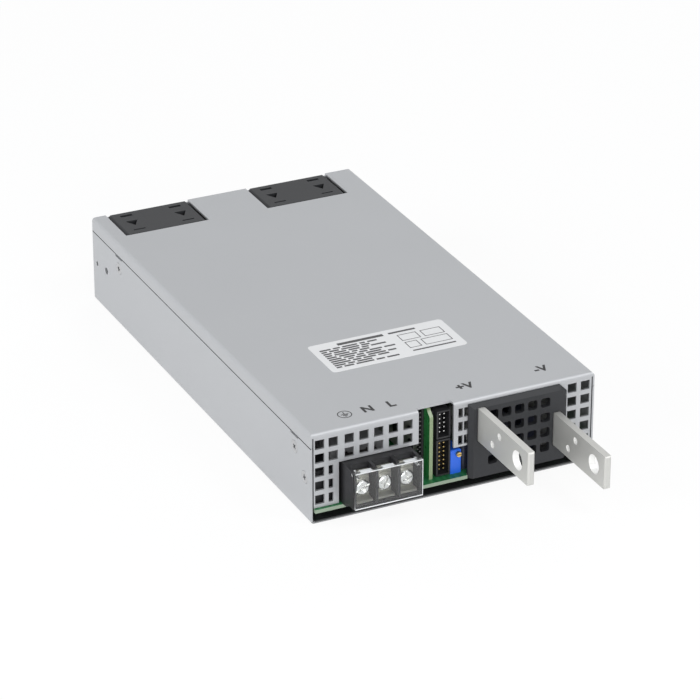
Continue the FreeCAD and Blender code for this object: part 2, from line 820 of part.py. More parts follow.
def terminal_cover():
    """Clear cover that flips up on two pins held in the end walls of the block."""
    body = piece("terminal_cover")
    gap = size("flip_gap")
    reach = size("flip_reach")
    inner = block_front - gap
    cover_left = block_left + gap
    width = block_width - gap * 2
    bottom = shelf_bottom + size("flip_lift")
    top = block_top + gap / 2
    add(body, "Y", inner - size("flip_thickness"), inner, rectangle(cover_left, bottom, width, top - bottom))
    lug_depth = size("flip_lug_depth")
    lug_width = size("flip_lug_width")
    lug_bottom = flip_axis_z + reach / 2
    lug = add(body, "Y", inner, inner + lug_depth,
              rectangle(first_way - lug_width / 2, lug_bottom, lug_width, top - lug_bottom))
    repeat(body, lug, across=(pitch, ways))
    wall = size("block_wall")
    ear = rectangle(inner, flip_axis_z - reach * 0.8, flip_axis_y + reach * 0.8 - inner, reach * 1.6)
    pin = disc(flip_axis_y, flip_axis_z, size("flip_pin_radius"))
    inside_left = block_left + wall + gap
    inside_right = block_right - wall - gap
    add(body, "X", inside_left, inside_left + size("flip_ear"), ear)
    add(body, "X", block_left + gap, inside_left, pin)
    add(body, "X", inside_right - size("flip_ear"), inside_right, ear)
    add(body, "X", inside_right, block_right - gap, pin)


# Control board and what shows in the window

control_left = window_left + size("control_inset")
control_right = control_left + size("control_thickness")
control_front = front + size("control_setback")
control_top = case_height - size("control_drop")
header_left = control_right + size("header_standoff")
header_right = header_left + size("header_width")


def control_board():
    """Upright board with a cut front corner."""
    body = piece("control_board")
    back = control_front + size("control_length")
    corner = size("control_chamfer")
    add(body, "X", control_left, control_right, outline(
        (control_front, board_top), (back, board_top), (back, control_top),
        (control_front + corner, control_top), (control_front, control_top - corner)))


def header(name, bottom, rows):
    """Shrouded two-column pin header lying on the control board, with its pins."""
    pin_pitch = size("pin_pitch")
    wall = size("header_wall")
    height = pin_pitch * (rows - 1) + size("header_end") * 2
    back = control_front + size("header_depth")
    cavity_back = control_front + size("header_cavity")
    body = piece(name + "_header")
    add(body, "Y", control_front, back, rectangle(header_left, bottom, size("header_width"), height))
    add(body, "Y", (control_front + cavity_back) / 2, back,
        rectangle(control_right, bottom + wall, header_left - control_right, height - wall * 2))
    cut(body, "Y", control_front - THROUGH, cavity_back,
        rectangle(header_left + wall, bottom + wall, size("header_width") - wall * 2, height - wall * 2))
    pins = piece(name + "_pins")
    first_x = header_left + (size("header_width") - pin_pitch) / 2
    first_z = bottom + size("header_end")
    pin = add(pins, "Y", cavity_back - size("pin_length"), cavity_back,
              square(first_x, first_z, size("pin_side")))
    repeat(pins, pin, across=(pin_pitch, 2), up=(pin_pitch, rows))
    return bottom + height


def control_parts():
    control_board()
    option_top = header("option", board_top + size("header_lift"), size("option_rows"))
    header("signal", option_top + size("header_spacing"), size("signal_rows"))
    trimmer()


def trimmer():
    """Square multi-turn trimmer with a slotted brass adjusting screw."""
    body = piece("trimmer")
    trimmer_left = header_right + size("trimmer_gap")
    width = size("trimmer_width")
    near_face = front + size("trimmer_setback")
    height = size("trimmer_height")
    top = board_top + height
    foot = height / 16
    add(body, "Z", board_top + foot, top, rectangle(trimmer_left, near_face, width, size("trimmer_depth")))
    feet_length = size("trimmer_depth") / 5
    foot_pad = add(body, "Z", board_top, board_top + foot,
                   rectangle(trimmer_left, near_face, width, feet_length))
    repeat(body, foot_pad, up=(size("trimmer_depth") - feet_length, 2))
    dress(body, "Chamfer", foot / 2, lambda middle: near(middle.z, top))
    x = trimmer_left + width / 2 + size("trimmer_screw_offset")
    z = top - size("trimmer_screw_drop")
    depth = size("trimmer_screw_depth")
    radius = size("trimmer_screw_radius")
    cut(body, "Y", near_face - THROUGH, near_face + depth, disc(x, z, radius + size("turning_gap")))

    screw = piece("trimmer_screw")
    tip = near_face - size("trimmer_screw_projection")
    add(screw, "Y", tip, near_face + depth - size("turning_gap"), disc(x, z, radius))
    slot = size("trimmer_slot_width")
    cut(screw, "Y", tip - THROUGH, tip + slot, rectangle(x - radius * 2, z - slot / 2, radius * 4, slot))


# Output side


def output_bar(name):
    """Flat bar with a bolt hole, two sense holes and a foot down to the board."""
    body = piece(name + "_bar")
    x, middle_z = bar_places[name]
    thickness = size("bar_thickness")
    half = size("bar_height") / 2
    tip = front - size("bar_projection")
    foot = front + size("bar_foot_setback")
    foot_end = foot + size("bar_foot_length")
    low = middle_z - half
    high = middle_z + half
    add(body, "X", x, x + thickness, outline(
        (tip, low), (foot, low), (foot, board_top), (foot_end, board_top), (foot_end, high), (tip, high)))
    dress(body, "Chamfer", size("bar_chamfer"), lambda middle: near(middle.y, tip))
    sense = tip + size("sense_hole_inset")
    offset = size("sense_hole_offset")
    cut(body, "X", x - THROUGH, x + thickness + THROUGH,
        disc(tip + size("bolt_hole_inset"), middle_z, size("bolt_hole_radius")),
        disc(sense, middle_z + offset, size("sense_hole_radius")),
        disc(sense + size("sense_hole_step"), middle_z - offset, size("sense_hole_radius")))


def bar_insulator():
    """Moulded plate on the flange, with slots for the bars and a grid of vents between them."""
    body = piece("bar_insulator")
    face = front - size("insulator_thickness")
    corner = size("insulator_chamfer")
    add(body, "Y", face, front, outline(
        (insulator_left, board_bottom), (insulator_right, board_bottom),
        (insulator_right, insulator_top - corner),
        (insulator_right - corner, insulator_top), (insulator_left, insulator_top)))
    dress(body, "Chamfer", size("insulator_bevel"),
          lambda middle: near(middle.y, face) and middle.z > (insulator_top - corner).value)
    through = (face - THROUGH, front + THROUGH)
    gap = size("bar_slot_gap")
    slots = [rectangle(x - gap, z - size("bar_height") / 2 - gap, size("bar_thickness") + gap * 2,
                       size("bar_height") + gap * 2) for x, z in bar_places.values()]
    cut(body, "Y", *through, *slots)
    width = size("grid_vent_width")
    height = size("grid_vent_height")
    inset = size("grid_vent_inset")
    columns = size("grid_columns")
    column_pitch = (size("insulator_width") - inset * 2) / (columns - 1)
    vent = cut(body, "Y", *through, rectangle(
        insulator_left + inset - width / 2,
        insulator_top - size("grid_vent_drop") - height / 2, width, height))
    repeat(body, vent, across=(column_pitch, columns), down=(size("grid_row_pitch"), size("grid_rows")))


# Fans


def fan_frame(side):
    """Square frame: duct, motor mount on struts at the rear, and the moulded pockets of its top."""
    body = piece(side + "_fan_frame")
    half = fan_side / 2
    end = size("fan_depth") / 2
    add(body, "Y", -end, end, square(0 * half, 0 * half, fan_side))
    dress(body, "Chamfer", size("fan_corner"),
          lambda middle: near(abs(middle.x), half) and near(abs(middle.z), half))
    cut(body, "Y", -end - THROUGH, end + THROUGH, disc(0, 0, fan_bore))
    strut_front = end - size("strut_depth")
    strut = size("strut_width")
    length = fan_bore * 2 + strut / 2
    add(body, "Y", strut_front, end, rectangle(-(length / 2), -(strut / 2), length, strut))
    add(body, "Y", strut_front, end, rectangle(-(strut / 2), -(length / 2), strut, length))
    add(body, "Y", strut_front, end, hexagon(0, 0, size("motor_radius")))
    cut(body, "Y", strut_front - THROUGH, end + THROUGH,
        disc(0, 0, size("fan_shaft_radius") + size("bearing_gap")))

    # Pockets near both ends of the top: a slot behind each flange and a three-cornered well between
    slot_length = size("fan_slot_length")
    slot_x = size("fan_slot_offset")
    well_rear = end - size("fan_pocket_start")
    pockets = []
    for hand in (-1, 1):
        inner = slot_x * hand - slot_length / 2
        rear_slot = end - size("fan_flange") - size("fan_slot_width")
        front_slot = -end + size("fan_flange") + size("fan_thin_slot_width")
        pockets.append(rectangle(inner, rear_slot, slot_length, size("fan_slot_width")))
        pockets.append(rectangle(inner, front_slot, slot_length, size("fan_thin_slot_width")))
        outer_x = (slot_x + slot_length / 2) * hand
        inner_x = (slot_x - slot_length / 2) * hand
        well_front = well_rear - size("fan_pocket_length")
        pockets.append(outline((outer_x, well_rear), (inner_x, well_rear), (slot_x * hand, well_front)))
    cut(body, "Z", half - size("fan_pocket_depth"), half + THROUGH, *pockets)
    place(body, fan_places[side], (fan_front + fan_rear) / 2, fan_middle)


def blade_section():
    """Flat blade section at the blade's angle, seen along the blade."""
    thickness = size("blade_thickness") / 2
    half = size("blade_chord") / 2
    ahead = sine(size("blade_angle"))
    aside = cosine(size("blade_angle"))
    corners = ((-half, -thickness), (half, -thickness), (half, thickness), (-half, thickness))
    return outline(*[(along * ahead + out * aside, along * aside - out * ahead) for along, out in corners])


def fan_rotor(side):
    """Hub with pitched blades and a shaft that runs in the frame's motor mount."""
    body = piece(side + "_fan_rotor")
    end = size("fan_depth") / 2
    hub_front = -end + size("hub_front_gap")
    hub_rear = end - size("strut_depth") - size("hub_rear_gap")
    tip = (fan_bore - size("blade_tip_gap")) * size("blade_reach_ratio")
    blade = add(body, "Z", size("hub_radius") / 2, tip, blade_section())
    blades = body.newObject("PartDesign::PolarPattern", "blades")
    blades.Originals = [blade]
    blades.Axis = (origin_feature(body, "Y_Axis"), [""])
    blades.setExpression("Occurrences", size("blade_count").text)
    body.Tip = blades
    doc.recompute()
    add(body, "Y", hub_front, hub_rear, disc(0, 0, size("hub_radius")))
    add(body, "Y", hub_rear, end - size("hub_rear_gap"), disc(0, 0, size("fan_shaft_radius")))
    place(body, fan_places[side], (fan_front + fan_rear) / 2, fan_middle)


def blank_label():
    body = piece("blank_label")
    label_left = left + size("label_inset")
    label_front = front + size("label_setback")
    add(body, "Z", case_height, case_height + size("label_thickness"),
        rectangle(label_left, label_front, size("label_width"), size("label_length")))


# Parts on the main board

component_gap = size("component_gap")
component_top = roof - size("roof_gap")
inlet_front = front + size("block_rear") + component_gap
left_lane = standoff_left + size("standoff_radius") + component_gap
right_lane = standoff_right - size("standoff_radius") - component_gap


def block(name, x, y, width, length, height):
    """Boxed part standing on the board, with eased top edges."""
    body = piece(name)
    top = board_top + height
    add(body, "Z", board_top, top, rectangle(x, y, width, length))
    dress(body, "Chamfer", size("component_ease"), lambda middle: near(middle.z, top))


def wound_core(name, x, y, width, depth, top):
    """Ferrite core with two windows, and the winding round its middle leg."""
    leg = width * size("core_leg_ratio")
    window = width * size("core_window_ratio")
    core = piece(name + "_core")
    add(core, "Y", y, y + depth, rectangle(x, board_top, width, top - board_top))
    yoke_top = board_top + leg
    yoke_bottom = top - leg
    openings = [rectangle(edge, yoke_top, window, yoke_bottom - yoke_top)
                for edge in (x + leg, x + width - leg - window)]
    cut(core, "Y", y - THROUGH, y + depth + THROUGH, *openings)
    gap = size("winding_gap")
    build = size("winding_build")
    middle = width - (leg + window) * 2
    winding = piece(name + "_winding")
    add(winding, "Z", yoke_top, yoke_bottom - gap,
        rectangle(x + leg + gap, y - build, width - (leg + gap) * 2, depth + build * 2),
        rectangle(x + leg + window - gap, y - gap, middle + gap * 2, depth + gap * 2))


def heatsink(name, web_x, fin_side, y, length):
    """Extruded heatsink: an upright web with a comb of fins on one side."""
    body = piece(name)
    web = size("heatsink_web")
    fin_length = size("heatsink_depth") - web
    add(body, "Y", y, y + length, rectangle(web_x, board_top, web, component_top - board_top))
    fin_x = web_x + web if fin_side > 0 else web_x - fin_length
    fins_height = size("heatsink_fin_pitch") * (size("heatsink_fins") - 1) + size("heatsink_fin")
    fin = add(body, "Y", y, y + length,
              rectangle(fin_x, component_top - fins_height, fin_length, size("heatsink_fin")))
    repeat(body, fin, up=(size("heatsink_fin_pitch"), size("heatsink_fins")))


def packages(name, x, y, count):
    """Flat power packages in a row against a heatsink web."""
    body = piece(name)
    bottom = board_top + size("package_lift")
    first = add(body, "X", x, x + size("package_depth"),
                rectangle(y, bottom, size("package_width"), size("package_height")))
    repeat(body, first, across=(size("package_pitch"), count))


def inlet_parts():
    """Inrush relay and mains fuse beside the wall, filter choke and capacitors behind the block."""
    relay_y = front + component_gap
    block("inrush_relay", board_left + component_gap / 3, relay_y,
          size("relay_width"), size("relay_length"), size("relay_height"))
    block("mains_fuse", board_left + component_gap, relay_y + size("relay_length") + component_gap,
          size("fuse_width"), size("fuse_length"), size("fuse_height"))
    choke_y = inlet_front + size("winding_build")
    choke_top = board_top + size("choke_height")
    wound_core("mains_choke", left_lane, choke_y, size("choke_width"), size("choke_depth"), choke_top)
    capacitor_y = choke_y + size("choke_depth") + size("winding_build") + component_gap
    depth = size("filter_capacitor_depth")
    capacitors = piece("filter_capacitors")
    can = add(capacitors, "Z", board_top, board_top + size("filter_capacitor_height"),
              rectangle(left_lane, capacitor_y, size("filter_capacitor_width"), depth))
    repeat(capacitors, can, up=(depth + component_gap, 2))
    return capacitor_y + depth * 2 + component_gap * 2


def primary_parts(y):
    """Primary heatsink with rectifier and transistors, boost choke and bulk capacitors beside it."""
    web_x = left_lane + size("heatsink_depth") - size("heatsink_web")
    heatsink("primary_heatsink", web_x, -1, y, size("primary_heatsink_length"))
    package_x = web_x + size("heatsink_web")
    packages("bridge_rectifier", package_x, y, 1)
    packages("power_transistors", package_x, y + size("package_pitch"), size("transistor_count"))
    lane = package_x + size("package_depth") + component_gap
    choke_y = y + size("winding_build")
    wound_core("boost_choke", lane, choke_y, size("boost_choke_width"), size("boost_choke_depth"),
               board_top + size("boost_choke_height"))
    radius = size("bulk_capacitor_radius")
    can_y = choke_y + size("boost_choke_depth") + size("winding_build") + component_gap + radius
    capacitors = piece("bulk_capacitors")
    can = add(capacitors, "Z", board_top, component_top, disc(lane + radius, can_y, radius))
    repeat(capacitors, can, across=(radius * 2 + component_gap / 3, size("bulk_capacitor_count")))
    return can_y + radius + component_gap


def output_parts(transformer_y):
    """Output capacitors between the bars, choke and rectifiers behind them, transformer at the back."""
    bar_right = bar_places["positive"][0] + size("bar_thickness")
    row_left = bar_right + component_gap
    y = front + size("bar_foot_setback")
    count = size("output_capacitor_count")
    room = bar_places["negative"][0] - component_gap - row_left
    width = (room - component_gap * (count - 1)) / count
    capacitors = piece("output_capacitors")
    can = add(capacitors, "Z", board_top, board_top + size("output_capacitor_height"),
              rectangle(row_left, y, width, size("output_capacitor_length")))
    repeat(capacitors, can, across=(width + component_gap, count))
    web_x = right_lane - size("heatsink_depth")
    package_x = web_x - size("package_depth")
    choke_y = y + size("output_capacitor_length") + component_gap
    choke_width = package_x - component_gap - row_left
    block("output_choke", row_left, choke_y, choke_width, size("output_choke_length"),
          size("output_choke_height"))
    standby_y = choke_y + size("output_choke_length") + component_gap
    block("standby_transformer", row_left, standby_y, choke_width, size("standby_length"),
          size("standby_height"))
    heatsink("output_heatsink", web_x, 1, choke_y, size("output_heatsink_length"))
    packages("output_rectifiers", package_x, choke_y, size("rectifier_count"))
    transformer_left = package_x - component_gap - size("transformer_width")
    wound_core("transformer", transformer_left, transformer_y + size("winding_build"),
               size("transformer_width"), size("transformer_depth"), component_top)


def build():
    chassis()
    top_cover()
    main_board()
    terminal_block()
    terminal_plates()
    for number, name in enumerate(("earth", "neutral", "live")):
        terminal_screw(name + "_terminal_screw", number)
    terminal_cover()
    control_parts()
    output_bar("positive")
    output_bar("negative")
    bar_insulator()
    for side in fan_places:
        fan_frame(side)
        fan_rotor(side)
    blank_label()
    primary_y = inlet_parts()
    transformer_y = primary_parts(primary_y)
    output_parts(transformer_y)


def write():
    """Checks every object, then writes each sub-part to its own file."""
    doc.recompute()
    for item in doc.Objects:
        if "Invalid" in item.State or "Error" in item.State:
            raise RuntimeError(f"{item.Label} failed: {item.State}")
    for item in pieces:
        if item.Shape.isNull() or not item.Shape.isValid():
            raise RuntimeError(f"{item.Label} has no valid shape")
    os.makedirs("parts", exist_ok=True)
    for item in pieces:
        item.Shape.exportStep(f"parts/{item.Label}.step")


build()
write()
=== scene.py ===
import json
import math

import bpy
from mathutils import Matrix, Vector


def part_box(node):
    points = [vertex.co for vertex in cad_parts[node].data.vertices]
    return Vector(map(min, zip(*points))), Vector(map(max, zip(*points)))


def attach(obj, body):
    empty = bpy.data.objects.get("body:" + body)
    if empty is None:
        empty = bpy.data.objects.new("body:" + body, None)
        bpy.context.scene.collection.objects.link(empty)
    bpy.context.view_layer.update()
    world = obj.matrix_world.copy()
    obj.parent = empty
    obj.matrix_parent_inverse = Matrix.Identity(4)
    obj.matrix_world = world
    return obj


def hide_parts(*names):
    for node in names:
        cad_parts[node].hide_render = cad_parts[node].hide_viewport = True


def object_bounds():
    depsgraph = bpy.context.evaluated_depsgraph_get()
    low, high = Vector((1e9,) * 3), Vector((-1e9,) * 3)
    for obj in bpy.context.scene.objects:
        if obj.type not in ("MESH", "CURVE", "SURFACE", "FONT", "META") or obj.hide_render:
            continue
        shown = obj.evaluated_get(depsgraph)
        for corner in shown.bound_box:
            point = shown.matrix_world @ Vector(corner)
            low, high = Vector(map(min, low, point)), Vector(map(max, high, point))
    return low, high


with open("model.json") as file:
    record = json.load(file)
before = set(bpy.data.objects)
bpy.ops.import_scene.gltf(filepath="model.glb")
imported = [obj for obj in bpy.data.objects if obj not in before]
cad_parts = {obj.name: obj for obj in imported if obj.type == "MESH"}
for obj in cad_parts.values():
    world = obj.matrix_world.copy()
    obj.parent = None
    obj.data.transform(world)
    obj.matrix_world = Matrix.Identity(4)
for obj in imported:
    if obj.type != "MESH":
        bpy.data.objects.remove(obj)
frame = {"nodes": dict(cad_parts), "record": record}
solid_low, solid_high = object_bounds()
nodes = frame["nodes"]

MM = 0.001
QUARTER = math.pi / 2

# How far a cutter reaches past what it cuts
PAST = 1 * MM

# Depth at which a finish's relief has its full strength
RELIEF_DEPTH = 0.2 * MM

# Faces, sheet and seams of the case
case_low, case_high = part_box("chassis")
LEFT, FRONT, BOTTOM = case_low
RIGHT, REAR = case_high.x, case_high.y
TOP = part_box("top_cover")[1].z
SHEET = 1.0 * MM
SIDE_SEAM = TOP - 6.325 * MM
CORNER_SEAM = RIGHT - SHEET - 0.1 * MM

# Output bars: their width, and each hole's place behind the tip and above the middle, and its radius
BAR_WIDTH = 15 * MM
BAR_HOLES = ((9.3 * MM, 0, 4.2 * MM), (24.9 * MM, 3.2 * MM, 1.6 * MM), (30.9 * MM, -3.2 * MM, 1.6 * MM))

# Marks on the top: where the ink begins, and how thick it is
MARK_BASE = TOP + 0.01 * MM
MARK_THICKNESS = 0.04 * MM

# Solids whose finish isn't the one of their slot
OWN_FINISHES = {"control_board": "control_board", "terminal_plates": "terminal_tin",
                "mains_choke_core": "choke_grey", "filter_capacitors": "choke_grey"}


# Selecting faces and edges

def select_only(piece):
    """Leaves one piece selected and active, in object mode."""
    if bpy.context.mode != "OBJECT":
        bpy.ops.object.mode_set(mode="OBJECT")
    bpy.ops.object.select_all(action="DESELECT")
    piece.select_set(True)
    bpy.context.view_layer.objects.active = piece


def pick(piece, kind, wanted):
    """Enters edit mode with only the wanted faces (by middle and normal) or edges (by ends) selected."""
    select_only(piece)
    bpy.ops.object.mode_set(mode="EDIT")
    bpy.ops.mesh.select_mode(type=kind)
    bpy.ops.mesh.select_all(action="DESELECT")
    bpy.ops.object.mode_set(mode="OBJECT")
    mesh = piece.data
    if kind == "FACE":
        for face in mesh.polygons:
            face.select = wanted(face.center, face.normal)
    else:
        for edge in mesh.edges:
            first, second = [mesh.vertices[index].co for index in edge.vertices]
            edge.select = wanted(first, second)
    bpy.ops.object.mode_set(mode="EDIT")


def pick_all(piece):
    """Enters edit mode with the whole piece selected."""
    select_only(piece)
    bpy.ops.object.mode_set(mode="EDIT")
    bpy.ops.mesh.select_all(action="SELECT")


def at(value, level):
    """True where two places are the same to a hundredth of a millimetre."""
    return abs(value - level) < 0.01 * MM


def faces_up(middle, normal):
    """True for a face that looks up."""
    return normal.z > 0.9


def faces_down(middle, normal):
    """True for a face that looks down."""
    return normal.z < -0.9


def top_rim(first, second):
    """True for an edge at the origin's height."""
    return at(first.z, 0) and at(second.z, 0)


def upright(first, second):
    """True for an edge that runs along Z."""
    return at(first.x, second.x) and at(first.y, second.y)


# Shaping

def extrude(vector):
    """Extrudes the selected faces along a vector."""
    bpy.ops.mesh.extrude_region_move(TRANSFORM_OT_translate={"value": vector})


def carve(piece, cutter, operation="DIFFERENCE"):
    """Cuts a piece with another, which is then removed."""
    select_only(piece)
    cut = piece.modifiers.new("cut", "BOOLEAN")
    cut.operation = operation
    cut.object = cutter
    cut.solver = "EXACT"
    cut.use_self = True
    bpy.ops.object.modifier_apply(modifier=cut.name)
    bpy.data.objects.remove(cutter)


def round_edges(piece, width, segments=2, wanted=None):
    """Rounds the wanted edges of a piece, or all of them."""
    pick(piece, "EDGE", wanted or (lambda first, second: True))
    bpy.ops.mesh.bevel(offset=width, segments=segments, affect="EDGES")
    bpy.ops.object.mode_set(mode="OBJECT")


def copy_of(piece):
    """Copy of a piece with its own mesh."""
    twin = piece.copy()
    twin.data = piece.data.copy()
    bpy.context.collection.objects.link(twin)
    return twin


def merge(pieces):
    """Joins pieces into the first."""
    select_only(pieces[0])
    for piece in pieces[1:]:
        piece.select_set(True)
    bpy.ops.object.join()
    return pieces[0]


def move(piece, place, turn=(0, 0, 0)):
    """Turns and moves a piece, and keeps the result in its mesh."""
    select_only(piece)
    piece.location = place
    piece.rotation_euler = turn
    bpy.ops.object.transform_apply(location=True, rotation=True, scale=True)
    return piece


def set_copy(piece, spin, place, tilt):
    """Copy of a piece, spun by degrees about its own axis, then tilted and moved to its place."""
    one = move(copy_of(piece), (0, 0, 0), (0, 0, math.radians(spin)))
    return move(one, place, tilt)


def outfit(piece, name, body, slot, finish=None, smooth=30):
    """Names a finished piece, shades and paints it, and lets it ride on its body."""
    select_only(piece)
    bpy.ops.object.shade_smooth_by_angle(angle=math.radians(smooth))
    piece.name = name
    piece.data.name = name
    piece.data.materials.clear()
    piece.data.materials.append(finishes[finish or slot])
    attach(piece, body)


# Blanks from which pieces start

def plate(low, high):
    """Box between two corners."""
    bpy.ops.object.select_all(action="DESELECT")
    middle = [(a + b) / 2 for a, b in zip(low, high)]
    bpy.ops.mesh.primitive_cube_add(size=1, location=middle)
    piece = bpy.context.object
    piece.scale = [b - a for a, b in zip(low, high)]
    bpy.ops.object.transform_apply(location=True, rotation=True, scale=True)
    return piece


def rod(radius, height, sides, middle=0):
    """Cylinder along Z, with its middle at a height."""
    bpy.ops.object.select_all(action="DESELECT")
    bpy.ops.mesh.primitive_cylinder_add(
        vertices=sides, radius=radius, depth=height, location=(0, 0, middle))
    piece = bpy.context.object
    bpy.ops.object.transform_apply(location=True, rotation=True, scale=True)
    return piece


def round_blank(radius, height, sides):
    """Cylinder along Z whose top is at the origin."""
    return rod(radius, height, sides, middle=-height / 2)


def raise_wall(outline, thickness, height):
    """Makes a flat outline a closed wall of this thickness and height."""
    pick_all(outline)
    bpy.ops.mesh.inset(thickness=thickness)
    bpy.ops.mesh.delete(type="FACE")
    bpy.ops.mesh.select_all(action="SELECT")
    extrude((0, 0, height))
    bpy.ops.mesh.select_all(action="SELECT")
    bpy.ops.mesh.normals_make_consistent(inside=False)
    bpy.ops.object.mode_set(mode="OBJECT")
    return outline


def ring(radius, wall, height):
    """Flat ring or short sleeve that stands on the origin."""
    sides = 48
    bpy.ops.object.select_all(action="DESELECT")
    bpy.ops.mesh.primitive_circle_add(vertices=sides, radius=radius, fill_type="NGON")
    return raise_wall(bpy.context.object, wall, height)


# Nodes

def rgb(red, green, blue):
    """Colour with full cover."""
    return (red, green, blue, 1.0)


def set_inputs(node, inputs):
    """Sets a node's inputs by name, where an underscore stands for a space."""
    for name, value in inputs.items():
        node.inputs[name.replace("_", " ")].default_value = value


def add_node(tree, kind, **inputs):
    """Adds a node and sets the inputs given by name."""
    node = tree.nodes.new(kind)
    set_inputs(node, inputs)
    return node


def feed(tree, socket, value):
    """Links another socket to a socket, or sets a plain value."""
    if isinstance(value, bpy.types.NodeSocket):
        tree.links.new(value, socket)
    else:
        socket.default_value = value


def calculate(tree, operation, *values):
    """Result of a math node on sockets or numbers."""
    node = tree.nodes.new("ShaderNodeMath")
    node.operation = operation
    for socket, value in zip(node.inputs, values):
        feed(tree, socket, value)
    return node.outputs[0]


def mix_colours(tree, factor, first, second):
    """Mix of two colours; factor and colours are sockets or plain values."""
    node = tree.nodes.new("ShaderNodeMix")
    node.data_type = "RGBA"
    for index, value in ((0, factor), (6, first), (7, second)):
        feed(tree, node.inputs[index], value)
    return node.outputs[2]


def spread(tree, value, low, high):
    """Maps a 0 to 1 value to a range; the ends are sockets or numbers."""
    node = tree.nodes.new("ShaderNodeMapRange")
    tree.links.new(value, node.inputs["Value"])
    feed(tree, node.inputs["To Min"], low)
    feed(tree, node.inputs["To Max"], high)
    return node.outputs["Result"]


# Node groups shared by the finishes

def new_group(name, inputs, outputs):
    """Shader node group with these sockets."""
    tree = bpy.data.node_groups.new(name, "ShaderNodeTree")
    for label, kind, default in inputs:
        socket = tree.interface.new_socket(label, in_out="INPUT", socket_type=kind)
        socket.default_value = default
    for label, kind in outputs:
        tree.interface.new_socket(label, in_out="OUTPUT", socket_type=kind)
    return tree, tree.nodes.new("NodeGroupInput"), tree.nodes.new("NodeGroupOutput")


def build_surface_group():
    """Broad clouding and fine grain over a surface."""
    tree, source, result = new_group(
        "surface_variation",
        [("Dark", "NodeSocketColor", rgb(0.5, 0.5, 0.5)),
         ("Light", "NodeSocketColor", rgb(0.6, 0.6, 0.6)),
         ("Cloud Scale", "NodeSocketFloat", 40.0), ("Grain Scale", "NodeSocketFloat", 1500.0),
         ("Grain Share", "NodeSocketFloat", 0.3), ("Smooth", "NodeSocketFloat", 0.3),
         ("Rough", "NodeSocketFloat", 0.5)],
        [("Colour", "NodeSocketColor"), ("Roughness", "NodeSocketFloat"), ("Height", "NodeSocketFloat")])
    links = tree.links
    place = tree.nodes.new("ShaderNodeTexCoord")
    cloud = add_node(tree, "ShaderNodeTexNoise", Detail=3.0, Roughness=0.6)
    links.new(place.outputs["Object"], cloud.inputs["Vector"])
    links.new(source.outputs["Cloud Scale"], cloud.inputs["Scale"])
    grain = add_node(tree, "ShaderNodeTexNoise", Detail=2.0, Roughness=0.7)
    links.new(place.outputs["Object"], grain.inputs["Vector"])
    links.new(source.outputs["Grain Scale"], grain.inputs["Scale"])
    blend = tree.nodes.new("ShaderNodeMix")
    links.new(source.outputs["Grain Share"], blend.inputs[0])
    links.new(cloud.outputs["Fac"], blend.inputs[2])
    links.new(grain.outputs["Fac"], blend.inputs[3])
    mask = blend.outputs[0]
    colour = mix_colours(tree, mask, source.outputs["Dark"], source.outputs["Light"])
    links.new(colour, result.inputs["Colour"])
    roughness = spread(tree, mask, source.outputs["Smooth"], source.outputs["Rough"])
    links.new(roughness, result.inputs["Roughness"])
    links.new(grain.outputs["Fac"], result.inputs["Height"])
    return tree


def build_line_group():
    """Mask of straight lines across one axis, such as turns of tape, board traces or die lines."""
    tree, source, result = new_group(
        "line_mask",
        [("Scale", "NodeSocketFloat", 400.0), ("Distortion", "NodeSocketFloat", 0.0),
         ("Turn", "NodeSocketFloat", 0.0)],
        [("Mask", "NodeSocketFloat")])
    links = tree.links
    place = tree.nodes.new("ShaderNodeTexCoord")
    turned = tree.nodes.new("ShaderNodeVectorRotate")
    turned.rotation_type = "Z_AXIS"
    links.new(place.outputs["Object"], turned.inputs["Vector"])
    links.new(source.outputs["Turn"], turned.inputs["Angle"])
    wave = add_node(tree, "ShaderNodeTexWave", Detail=1.0)
    links.new(turned.outputs["Vector"], wave.inputs["Vector"])
    links.new(source.outputs["Scale"], wave.inputs["Scale"])
    links.new(source.outputs["Distortion"], wave.inputs["Distortion"])
    links.new(wave.outputs["Fac"], result.inputs["Mask"])
    return tree


def build_edge_group():
    """Mask of a sheet's or board's cut edges: faces that don't look along its thin axis."""
    tree, source, result = new_group(
        "cut_edge_mask", [("Across", "NodeSocketVector", (0, 0, 1))], [("Mask", "NodeSocketFloat")])
    place = tree.nodes.new("ShaderNodeTexCoord")
    along = tree.nodes.new("ShaderNodeVectorMath")
    along.operation = "DOT_PRODUCT"
    tree.links.new(place.outputs["Normal"], along.inputs[0])
    tree.links.new(source.outputs["Across"], along.inputs[1])
    size = calculate(tree, "ABSOLUTE", along.outputs["Value"])
    tree.links.new(calculate(tree, "LESS_THAN", size, 0.5), result.inputs["Mask"])
    return tree


surface_group = build_surface_group()
line_group = build_line_group()
edge_group = build_edge_group()


# Finishes

